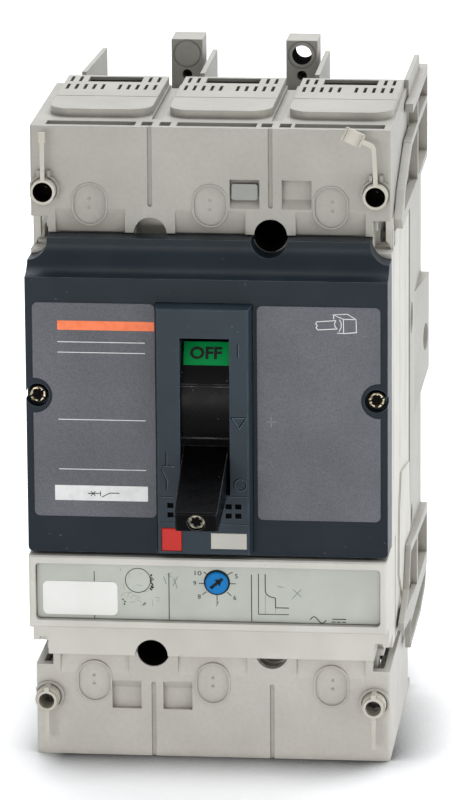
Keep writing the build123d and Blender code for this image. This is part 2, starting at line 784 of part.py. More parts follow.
        # Two small ears above each upper boss
        if end > 0:
            with BuildSketch(front_plane(face)):
                with Locations((-boss_x, boss_z + boss_radius + 0.5), (boss_x, boss_z + boss_radius + 0.5)):
                    Rectangle(ear_width, ear_height)
            extrude(amount=ear_rise)
        with BuildSketch(front_plane(face + ear_rise)):
            with Locations((shift - boss_x, boss_z), (shift + boss_x, boss_z)):
                Circle(boss_bore)
                with Locations((0, boss_bore + 0.4)):
                    Rectangle(seal_strip_width + 0.9, 4.4)
        extrude(amount=-ear_rise, mode=Mode.SUBTRACT)
        with BuildSketch(front_plane(face + boss_height)):
            with Locations((shift - boss_x, boss_z), (shift + boss_x, boss_z)):
                Circle(seal_hole_radius)
            with Locations((wall_places[0], hole_z), (wall_places[1], hole_z)):
                Circle(hole_radius)
        extrude(amount=-(face + boss_height - case_end_front + 0.1), mode=Mode.SUBTRACT)
        for side in (-1, 1):
            add_box(
                sorted((side * shield_width / 2, side * case_width)), (-case_width * 2, 0),
                (hole_z - 5, top + 10), mode=Mode.SUBTRACT,
            )
    if end < 0:
        shield_solid = mirror(shield.part, about=Plane.XY)
    else:
        shield_solid = shield.part
    shield_solid.label = name
    export_step(shield_solid, f"parts/{name}.step")

# Sealing plugs: a washer in each boss, a tube that stands out of it with a key, and a strip
# that hangs from the tube. The upper right strip is bent over and torn off at its end.
for name, side, end in (
    ("upper_left_seal", -1, 1), ("upper_right_seal", 1, 1),
    ("lower_left_seal", -1, -1), ("lower_right_seal", 1, -1),
):
    face = upper_face if end > 0 else lower_face
    boss_z = upper_boss_z if end > 0 else lower_boss_z
    tube_hole = seal_hole_radius - 0.1 if end > 0 else seal_lower_hole_radius
    tube_reach = upper_tube_reach if end > 0 else lower_tube_reach
    strip_front = upper_tube_reach if end > 0 else lower_collar_reach
    seal_x = side * boss_x + (0 if end > 0 else lower_boss_shift)
    with BuildPart() as seal:
        with BuildSketch(front_plane(face)):
            with Locations((seal_x, boss_z)):
                Circle(seal_radius)
        extrude(amount=seal_height)
        with BuildSketch(front_plane(face)):
            with Locations((seal_x, boss_z)):
                Circle(tube_hole + seal_ring_wall)
        extrude(amount=tube_reach)
        if end < 0:
            with BuildSketch(front_plane(face)):
                with Locations((seal_x, boss_z)):
                    Circle(seal_collar_radius)
            extrude(amount=lower_collar_reach)
            with BuildSketch(front_plane(face + boss_height + fit_gap)):
                with Locations((seal_x, boss_z + tube_hole + 0.9)):
                    Rectangle(seal_key_width, 1.8)
            extrude(amount=tube_reach - boss_height - fit_gap)
        with BuildSketch(front_plane(face + strip_front)):
            if name == "upper_right_seal":
                with BuildLine():
                    Polyline(
                        (seal_x + 0.1, boss_z + 3.1), (seal_x - 0.2, boss_z + 10),
                        (seal_x - 0.5, boss_z + 14.2), (seal_x - 0.9, boss_z + 14.9),
                        (seal_x - 4.4, boss_z + 16.6),
                    )
                trace(line_width=seal_strip_width)
                with Locations(Location((seal_x - 6.4, boss_z + 17.5), -25)):
                    RectangleRounded(6.2, 4.1, 0.7)
            else:
                strip_length = 14.4 if end > 0 else 9.9
                with Locations((seal_x, boss_z + end * (3.1 + strip_length / 2))):
                    Rectangle(seal_strip_width, strip_length)
                if end > 0:
                    with Locations((seal_x, boss_z + 16.1)):
                        Rectangle(1.9, 3.0)
        extrude(amount=-seal_strip_thickness)
        with BuildSketch(front_plane(face + tube_reach)):
            with Locations((seal_x, boss_z)):
                Circle(tube_hole)
        extrude(amount=-(tube_reach + 1), mode=Mode.SUBTRACT)
    seal.part.label = name
    export_step(seal.part, f"parts/{name}.step")

# Sealing screws in the upper shield
for side, name in ((-1, "left_seal_screw"), (1, "right_seal_screw")):
    with BuildPart() as seal_screw:
        with BuildSketch(front_plane(case_end_front)):
            with Locations((side * boss_x, upper_boss_z)):
                Circle(seal_screw_radius)
        extrude(amount=seal_screw_height)
        with BuildSketch(front_plane(case_end_front + seal_screw_height)):
            with Locations(Location((side * boss_x, upper_boss_z), 30)):
                Rectangle(4.4, 0.8)
        extrude(amount=-0.9, mode=Mode.SUBTRACT)
    seal_screw.part.label = name
    export_step(seal_screw.part, f"parts/{name}.step")

# Plain tile in the left window of the upper shield
with BuildPart() as window_tile:
    with BuildSketch(front_plane(upper_face - window_depth)):
        with Locations((wall_places[1] - 7.5, upper_boss_z - window_drop + 0.6)):
            RectangleRounded(7.6, 4.8, 0.8)
    extrude(amount=1.6)
window_tile.part.label = "window_tile"
export_step(window_tile.part, "parts/window_tile.step")

# Terminal pads in the bays of the case
for end, end_name in ((1, "upper"), (-1, "lower")):
    for pole, pole_name in zip(pole_places, ("left", "centre", "right")):
        name = f"{end_name}_{pole_name}_terminal"
        with BuildPart() as terminal:
            add_box(
                (pole - terminal_width / 2, pole + terminal_width / 2),
                (-bay_back - terminal_thickness, -bay_back),
                (end * (case_half_height - bay_length), end * (case_half_height + terminal_reach)),
            )
            with BuildSketch(front_plane(bay_back + terminal_thickness)):
                with Locations((pole, end * (case_half_height - 3))):
                    Circle(terminal_hole_radius)
            extrude(amount=-terminal_thickness, mode=Mode.SUBTRACT)
        terminal.part.label = name
        export_step(terminal.part, f"parts/{name}.step")

# Rear base with connection bays, coring pockets in its back and four fixing posts
with BuildPart() as base:
    base_low = base_center - base_half_height
    base_high = base_center + base_half_height
    add_box((-rail_inner, rail_inner), (-base_depth, 0), (base_low, base_high))
    for end in (-1, 1):
        bay_outer = base_center + end * (base_half_height + 1)
        bay_inner = base_center + end * (base_half_height - base_bay_length)
        for pole in pole_places:
            add_box(
                (pole - base_bay_width / 2, pole + base_bay_width / 2), (-base_depth + 8, 1),
                sorted((bay_inner, bay_outer)), mode=Mode.SUBTRACT,
            )
        with BuildSketch(front_plane(0)):
            for wall in wall_places:
                with Locations((wall, base_center + end * (base_half_height + post_rise / 2 - 5))):
                    Rectangle(2 * post_half_width, post_rise + 10)
        extrude(amount=post_front)
        # Coring pockets left and right of the middle web
        for side in (-1, 1):
            with BuildSketch(front_plane(0)):
                with Locations((side * pole_pitch / 2 * 1.6, base_center + end * 21)):
                    RectangleRounded(pole_pitch - 5, 34, 2)
            extrude(amount=12, mode=Mode.SUBTRACT)
    with BuildSketch(front_plane(post_front)):
        with Locations((wall_places[1], post_hole_z), (wall_places[0], 2 * base_center - post_hole_z)):
            Circle(post_hole_radius)
    extrude(amount=-post_front, mode=Mode.SUBTRACT)
    # Small pin holes and the closed hole of the other post
    with BuildSketch(front_plane(post_front)):
        for wall in wall_places:
            upper_pin = post_top - post_pin_drop
            with Locations((wall, upper_pin), (wall, 2 * base_center - upper_pin)):
                Circle(post_pin_radius)
    extrude(amount=-post_pin_depth, mode=Mode.SUBTRACT)
    # Shallow ring sunk round each hole or in its place
    with BuildSketch(front_plane(post_front)):
        for wall in wall_places:
            with Locations((wall, post_hole_z), (wall, 2 * base_center - post_hole_z)):
                Circle(post_rim_radius)
                Circle(post_rim_radius - 0.6, mode=Mode.SUBTRACT)
    extrude(amount=-post_rim_depth, mode=Mode.SUBTRACT)
base.part.label = "base"
export_step(base.part, "parts/base.step")

bump_low = -12.0
bump_high = 26.0
bump_length = 28.0

# Side rails of the base with ribbed wings that reach along the shields.
# The right one rises above the upper shield and reaches further forward.
for side, name in ((-1, "left_rail"), (1, "right_rail")):
    rail_top = base_center + base_half_height + (6.5 if side > 0 else 0)
    rail_low = base_center - base_half_height - 5
    wing_face = base_width / 2 + wing_rise
    if side > 0:
        upper_wing = (
            (0, rail_top), (-60, rail_top), (-60, rail_top - 2.4), (-67, 80.6), (-93, 72.5), (-104, 66),
            (-100, 62.5), (0, 62.5),
        )
        upper_pocket = ((-41.2, 64.3), (-41.2, 79.6), (-64, 79.3), (-91, 70.8), (-94, 66))
    else:
        upper_wing = ((0, rail_top), (-60, rail_top), (-67, 78), (-74, 76), (-74, 62.5), (0, 62.5))
        upper_pocket = ((-41.2, 64.3), (-41.2, 79.6), (-64, 77), (-71.5, 74.8), (-71.5, 64.3))
    lower_wing = (
        (0, -47.5), (-34, -45.4), (-68, -42), (-76, -53.5), (-96, -58), (-96, -60.5),
        (-69, -64.5), (-69, -73.8), (-27.5, -75), (-8, -72.5), (0, -65.5),
    )
    bump_face = base_width / 2 + bump_rise
    with BuildPart() as bump:
        with BuildSketch(Plane.XY.offset(bump_low)):
            with BuildLine():
                Polyline(
                    (rail_inner + 1, -bump_length), (base_width / 2, -bump_length), (bump_face, -3),
                    (bump_face, 0), (rail_inner + 1, 0), close=True,
                )
            make_face()
        extrude(amount=bump_high - bump_low)
        with BuildSketch(Plane.XZ):
            with BuildLine():
                Polyline(
                    (rail_inner + 1, bump_low), (base_width / 2, bump_low), (bump_face, bump_low + 8),
                    (bump_face, bump_high), (rail_inner + 1, bump_high), close=True,
                )
            make_face()
        extrude(amount=bump_length, mode=Mode.INTERSECT)
    with BuildPart() as rail:
        add_box((rail_inner, base_width / 2), (-base_depth, 0), (rail_low, rail_top))
        add(bump.part)
        for outline in (upper_wing, lower_wing):
            with BuildSketch(Plane.YZ.offset(wing_inner)):
                with BuildLine():
                    Polyline(*outline, close=True)
                make_face()
            extrude(amount=wing_face - wing_inner)
        pockets = [
            ((-1.5, 64.5), (-1.5, 79.5), (-38.8, 79.8), (-38.8, 64.5)), upper_pocket,
            ((-1.5, -50.5), (-1.5, -63), (-40.2, -61.8), (-40.2, -46.9)),
            ((-43, -46.8), (-43, -61.4), (-86, -57), (-74.5, -53.5), (-67, -44.3)),
            ((-5, -68), (-10, -71), (-28, -73.4), (-67.3, -72.3), (-67.3, -66.4), (-35, -66.9)),
        ]
        if side > 0:
            pockets.append(((-1.5, 81.5), (-1.5, 88), (-38.8, 88), (-38.8, 82)))
            pockets.append(((-41.2, 81.6), (-41.2, 88.2), (-72, rail_top - 2.4), (-72, 81)))
        for outline in pockets:
            with BuildSketch(Plane.YZ.offset(pocket_floor)):
                with BuildLine():
                    Polyline(*outline, close=True)
                make_face()
            extrude(amount=wing_face + 1 - pocket_floor, mode=Mode.SUBTRACT)
        # The lower wing stands clear of the raised pad on the case
        add_box(
            (rail_inner, case_width / 2 + 0.7), (-110, -base_depth), (-80, -40), mode=Mode.SUBTRACT
        )
        # Round blind holes in the side
        for y, z, radius in ((-38.4, 20.8, 4.8), (-38.4, -40.9, 3.4), (-7.8, 7.3, 4.2)):
            with BuildSketch(Plane.YZ.offset(base_width / 2 - 2.4)):
                with Locations((y, z)):
                    Circle(radius)
            extrude(amount=6, mode=Mode.SUBTRACT)
        # Thin fin along the top edge, inside the wing
        if side > 0:
            with BuildSketch(Plane.YZ.offset(base_width / 2 - fin_thickness)):
                with BuildLine():
                    Polyline((-50.6, 88), (-50.6, 96.3), (-9, 95.6), (-7, 95), (-5, 88), close=True)
                make_face()
            extrude(amount=fin_thickness)
    if side < 0:
        rail_solid = mirror(rail.part, about=Plane.YZ)
    else:
        rail_solid = rail.part
    rail_solid.label = name
    export_step(rail_solid, f"parts/{name}.step")

# Thin insulating fins in the bays, standing above the base; the left one leans outwards
for pole, shift, turn, name in zip(
    pole_places, fin_shifts, fin_turns, ("left_fin", "centre_fin", "right_fin")
):
    fin_left = pole - fin_offset + shift - fin_thickness
    with BuildPart() as fin:
        with Locations(Location((fin_left, 0, base_center + base_half_height - base_bay_length), turn)):
            Box(
                fin_thickness, base_depth - 8.2, fin_top - base_center - base_half_height + base_bay_length,
                align=(Align.MIN, Align.MAX, Align.MIN),
            )
    fin.part.label = name
    export_step(fin.part, f"parts/{name}.step")

# Connection bars in the bays of the base
for end, end_name in ((1, "upper"), (-1, "lower")):
    for pole, pole_name in zip(pole_places, ("left", "centre", "right")):
        name = f"{end_name}_{pole_name}_bar"
        root = base_center + end * (base_half_height - base_bay_length)
        with BuildPart() as bar:
            add_box(
                (pole - bar_width / 2 + 1, pole + bar_width / 2 + 1), (-20 - bar_thickness, -20),
                sorted((root, root + end * bar_length)),
            )
            with BuildSketch(front_plane(20 + bar_thickness)):
                with Locations((pole + 1, root + end * (bar_length - 8))):
                    Circle(terminal_hole_radius)
            extrude(amount=-bar_thickness, mode=Mode.SUBTRACT)
        bar.part.label = name
        export_step(bar.part, f"parts/{name}.step")
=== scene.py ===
import math
import random

import bpy
from mathutils import Matrix, Vector
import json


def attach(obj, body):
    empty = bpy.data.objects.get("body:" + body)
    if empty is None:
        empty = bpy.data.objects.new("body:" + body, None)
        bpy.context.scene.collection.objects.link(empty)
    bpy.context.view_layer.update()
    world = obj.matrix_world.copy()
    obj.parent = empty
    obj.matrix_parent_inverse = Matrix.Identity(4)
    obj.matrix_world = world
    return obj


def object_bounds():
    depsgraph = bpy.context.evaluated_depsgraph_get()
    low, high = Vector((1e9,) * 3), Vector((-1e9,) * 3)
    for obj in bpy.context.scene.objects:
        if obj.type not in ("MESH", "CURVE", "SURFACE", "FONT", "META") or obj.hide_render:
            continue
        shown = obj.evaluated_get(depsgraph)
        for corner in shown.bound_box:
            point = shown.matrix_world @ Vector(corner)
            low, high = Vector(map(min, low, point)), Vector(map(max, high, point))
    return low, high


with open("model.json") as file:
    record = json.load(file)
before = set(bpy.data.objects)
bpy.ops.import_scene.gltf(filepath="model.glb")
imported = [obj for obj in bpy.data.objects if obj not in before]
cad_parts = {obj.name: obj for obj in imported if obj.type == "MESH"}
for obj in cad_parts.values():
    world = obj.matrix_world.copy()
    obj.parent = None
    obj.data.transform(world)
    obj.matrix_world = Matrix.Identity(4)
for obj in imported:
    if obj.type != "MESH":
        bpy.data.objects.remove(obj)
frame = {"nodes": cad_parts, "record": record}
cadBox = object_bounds()

mm = 0.001  # sizes below are written in millimetres and scaled once


def linear(hexColour):  # sRGB hex to the linear values that shaders take
    parts = [int(hexColour[i:i + 2], 16) / 255 for i in (1, 3, 5)]
    return tuple(p / 12.92 if p <= 0.04045 else ((p + 0.055) / 1.055) ** 2.4 for p in parts) + (1.0,)


# Materials

def addNode(tree, kind, settings=None, **links):
    # one node, its settings by name or socket, and its inputs from other sockets
    node = tree.nodes.new(kind)
    for key, value in (settings or {}).items():
        if isinstance(key, str) and hasattr(node, key):
            setattr(node, key, value)
        else:
            node.inputs[key].default_value = value
    for key, source in links.items():
        socket = int(key[1:]) if key[0] == "n" and key[1:].isdigit() else key.replace("_", " ")
        tree.links.new(source, node.inputs[socket])
    return node


def newMaterial(name):
    material = bpy.data.materials.new(name)
    material.use_nodes = True
    tree = material.node_tree
    tree.nodes.clear()
    output = tree.nodes.new("ShaderNodeOutputMaterial")
    shader = tree.nodes.new("ShaderNodeBsdfPrincipled")
    tree.links.new(shader.outputs[0], output.inputs[0])
    return material, tree, shader


def rampStops(ramp, stops):  # (place, hex or grey) pairs on a colour ramp
    elements = ramp.color_ramp.elements
    while len(elements) < len(stops):
        elements.new(0.5)
    for element, (place, colour) in zip(elements, stops):
        element.position = place
        element.color = linear(colour) if isinstance(colour, str) else (colour, colour, colour, 1)


# What holds for every plastic unless its own entry says otherwise; sizes in mm
plasticDefaults = {
    "specular": 0.5, "cloudMm": 14, "speckMm": 2.4, "patchMm": 11, "dirtAndShadeMm": 2.2, "smearMm": 6, "edgeMm": 0.3,
    "rubMm": 5, "polish": 0.06, "glossMm": 3.5, "grain": 0.1, "grainMm": 0.35}


def speckled(tree, place, colour, look):
    # dots of dirt or rub that gather in patches
    cells = addNode(tree, "ShaderNodeTexVoronoi", {"Scale": 1 / (look["speckMm"] * mm)}, Vector=place)
    dots = addNode(tree, "ShaderNodeValToRGB", {}, Fac=cells.outputs["Distance"])
    rampStops(dots, [(0.0, 1.0), (0.1, 0.0)])
    field = addNode(tree, "ShaderNodeTexNoise",
                    {"Scale": 1 / (look["patchMm"] * mm), "Detail": 3.0, "Roughness": 0.5}, Vector=place)
    patches = addNode(tree, "ShaderNodeValToRGB", {}, Fac=field.outputs["Fac"])
    rampStops(patches, [(0.5, 0.0), (0.62, 1.0)])
    both = addNode(tree, "ShaderNodeMath", {"operation": "MULTIPLY"}, n0=dots.outputs[0], n1=patches.outputs[0])
    amount = addNode(tree, "ShaderNodeMath", {"operation": "MULTIPLY", 1: look["specks"]}, n0=both.outputs[0])
    return addNode(tree, "ShaderNodeMix", {"data_type": "RGBA", 7: linear(look["speckColour"])},
                   n0=amount.outputs[0], n6=colour).outputs[2]


def mottled(tree, place, colour, look):
    # a fine uneven tone, as a film or a moulded skin has
    field = addNode(tree, "ShaderNodeTexNoise",
                    {"Scale": 1 / (look["mottleMm"] * mm), "Detail": 2.0, "Roughness": 0.5}, Vector=place)
    fine = addNode(tree, "ShaderNodeValToRGB", {}, Fac=field.outputs["Fac"])
    rampStops(fine, [(0.42, 0.0), (0.6, 1.0)])
    amount = addNode(tree, "ShaderNodeMath", {"operation": "MULTIPLY", 1: look["mottle"]}, n0=fine.outputs[0])
    return addNode(tree, "ShaderNodeMix", {"data_type": "RGBA", 7: linear(look["mottleColour"])},
                   n0=amount.outputs[0], n6=colour).outputs[2]


def dirtAndShaded(tree, place, colour, look):
    # dirt and painted shade in the corners, darkest where the Ambient Occlusion node finds them closed in,
    # broken up so that it isn't an even line
    corner = addNode(tree, "ShaderNodeAmbientOcclusion", {"samples": 4, "Distance": look["dirtAndShadeMm"] * mm})
    reach = addNode(tree, "ShaderNodeMapRange", {1: 0.25, 2: 0.85, 3: look["dirtAndShade"], 4: 0.0},
                    Value=corner.outputs["AO"])
    field = addNode(tree, "ShaderNodeTexNoise",
                    {"Scale": 1 / (look["smearMm"] * mm), "Detail": 4.0, "Roughness": 0.5}, Vector=place)
    patchy = addNode(tree, "ShaderNodeMapRange", {1: 0.3, 2: 0.7, 3: 0.45, 4: 1.0}, Value=field.outputs["Fac"])
    amount = addNode(tree, "ShaderNodeMath", {"operation": "MULTIPLY"}, n0=reach.outputs[0],
                     n1=patchy.outputs[0])
    return addNode(tree, "ShaderNodeMix", {"data_type": "RGBA", 7: linear(look["dirtAndShadeColour"])},
                   n0=amount.outputs[0], n6=colour).outputs[2]


def edgeWornAndLit(tree, place, colour, look, edge):
    # paler plastic where the rounded normal leaves the flat one: rubbed edges, with painted highlights along
    # them
    flat = addNode(tree, "ShaderNodeNewGeometry")
    turn = addNode(tree, "ShaderNodeVectorMath", {"operation": "DOT_PRODUCT"}, n0=edge.outputs[0],
                   n1=flat.outputs["Normal"])
    rim = addNode(tree, "ShaderNodeMapRange", {1: 0.86, 2: 0.985, 3: look["edgeWearAndHighlight"], 4: 0.0},
                  Value=turn.outputs["Value"])
    field = addNode(tree, "ShaderNodeTexNoise",
                    {"Scale": 1 / (look["rubMm"] * mm), "Detail": 4.0, "Roughness": 0.5}, Vector=place)
    worn = addNode(tree, "ShaderNodeMapRange", {1: 0.35, 2: 0.6, 3: 0.3, 4: 1.0}, Value=field.outputs["Fac"])
    amount = addNode(tree, "ShaderNodeMath", {"operation": "MULTIPLY"}, n0=rim.outputs[0], n1=worn.outputs[0])
    return addNode(tree, "ShaderNodeMix", {"data_type": "RGBA", 7: linear(look["edgeRubAndHighlightColour"])},
                   n0=amount.outputs[0], n6=colour).outputs[2]


def agedPlastic(name, ownLook):
    # body colour with slow clouding, then specks, mottle, grime with painted shade in the corners and worn
    # edges with painted highlights, over a fine grain
    look = {**plasticDefaults, **ownLook}
    material, tree, shader = newMaterial(name)
    shader.inputs["IOR"].default_value = 1.5
    shader.inputs["Specular IOR Level"].default_value = look["specular"]
    place = addNode(tree, "ShaderNodeTexCoord").outputs["Object"]
    cloud = addNode(tree, "ShaderNodeTexNoise",
                    {"Scale": 1 / (look["cloudMm"] * mm), "Detail": 4.0, "Roughness": 0.5}, Vector=place)
    tint = addNode(tree, "ShaderNodeValToRGB", {}, Fac=cloud.outputs["Fac"])
    rampStops(tint, [(0.32, look["shade"]), (0.68, look["colour"])])
    colour = tint.outputs[0]
    # the bevel node rounds the shading of sharp edges, and also finds them for the wear and the painted edge
    # highlights
    edge = addNode(tree, "ShaderNodeBevel", {"samples": 4, "Radius": look["edgeMm"] * mm})
    if "specks" in look:
        colour = speckled(tree, place, colour, look)
    if "mottle" in look:
        colour = mottled(tree, place, colour, look)
    if "dirtAndShade" in look:
        colour = dirtAndShaded(tree, place, colour, look)
    if "edgeWearAndHighlight" in look:
        colour = edgeWornAndLit(tree, place, colour, look, edge)
    tree.links.new(colour, shader.inputs["Base Color"])
    field = addNode(tree, "ShaderNodeTexNoise",
                    {"Scale": 1 / (look["glossMm"] * mm), "Detail": 6.0, "Roughness": 0.65}, Vector=place)
    gloss = addNode(tree, "ShaderNodeMapRange",
                    {3: look["rough"] - look["polish"], 4: look["rough"] + look["polish"]},
                    Value=field.outputs["Fac"])
    tree.links.new(gloss.outputs[0], shader.inputs["Roughness"])
    grain = addNode(tree, "ShaderNodeTexNoise",
                    {"Scale": 1 / (look["grainMm"] * mm), "Detail": 2.0, "Roughness": 0.5}, Vector=place)
    bump = addNode(tree, "ShaderNodeBump", {"Strength": look["grain"], "Distance": 0.1 * mm},
                   Height=grain.outputs["Fac"], Normal=edge.outputs[0])
    tree.links.new(bump.outputs[0], shader.inputs["Normal"])
    return material


def platedMetal(name, look):
    # bare or plated metal: even tone with dull patches and a finely pitted skin
    sizes = {"tintMm": 1.6, "glossMm": 0.8, "pitMm": 0.3}
    material, tree, shader = newMaterial(name)
    shader.inputs["Metallic"].default_value = 1.0
    place = addNode(tree, "ShaderNodeTexCoord").outputs["Object"]
    field = addNode(tree, "ShaderNodeTexNoise",
                    {"Scale": 1 / (sizes["tintMm"] * mm), "Detail": 4.0, "Roughness": 0.5}, Vector=place)
    tint = addNode(tree, "ShaderNodeValToRGB", {}, Fac=field.outputs["Fac"])
    rampStops(tint, [(0.35, look["shade"]), (0.62, look["colour"])])
    tree.links.new(tint.outputs[0], shader.inputs["Base Color"])
    field = addNode(tree, "ShaderNodeTexNoise",
                    {"Scale": 1 / (sizes["glossMm"] * mm), "Detail": 3.0, "Roughness": 0.5}, Vector=place)
    gloss = addNode(tree, "ShaderNodeMapRange", {3: look["rough"] - 0.1, 4: look["rough"] + 0.1},
                    Value=field.outputs["Fac"])
    tree.links.new(gloss.outputs[0], shader.inputs["Roughness"])
    pits = addNode(tree, "ShaderNodeTexNoise",
                   {"Scale": 1 / (sizes["pitMm"] * mm), "Detail": 2.0, "Roughness": 0.5}, Vector=place)
    bump = addNode(tree, "ShaderNodeBump", {"Strength": 0.15, "Distance": 0.05 * mm},
                   Height=pits.outputs["Fac"])
    tree.links.new(bump.outputs[0], shader.inputs["Normal"])
    return material


def printedInk(name, hexColour, faded, rough=0.45, specular=0.2, fadeMm=0.7):
    # screen ink: slightly thin in patches, as real print is
    material, tree, shader = newMaterial(name)
    place = addNode(tree, "ShaderNodeTexCoord").outputs["Object"]
    field = addNode(tree, "ShaderNodeTexNoise",
                    {"Scale": 1 / (fadeMm * mm), "Detail": 3.0, "Roughness": 0.5}, Vector=place)
    tint = addNode(tree, "ShaderNodeValToRGB", {}, Fac=field.outputs["Fac"])
    rampStops(tint, [(0.3, faded), (0.55, hexColour)])
    tree.links.new(tint.outputs[0], shader.inputs["Base Color"])
    shader.inputs["Specular IOR Level"].default_value = specular
    shader.inputs["Roughness"].default_value = rough
    return material


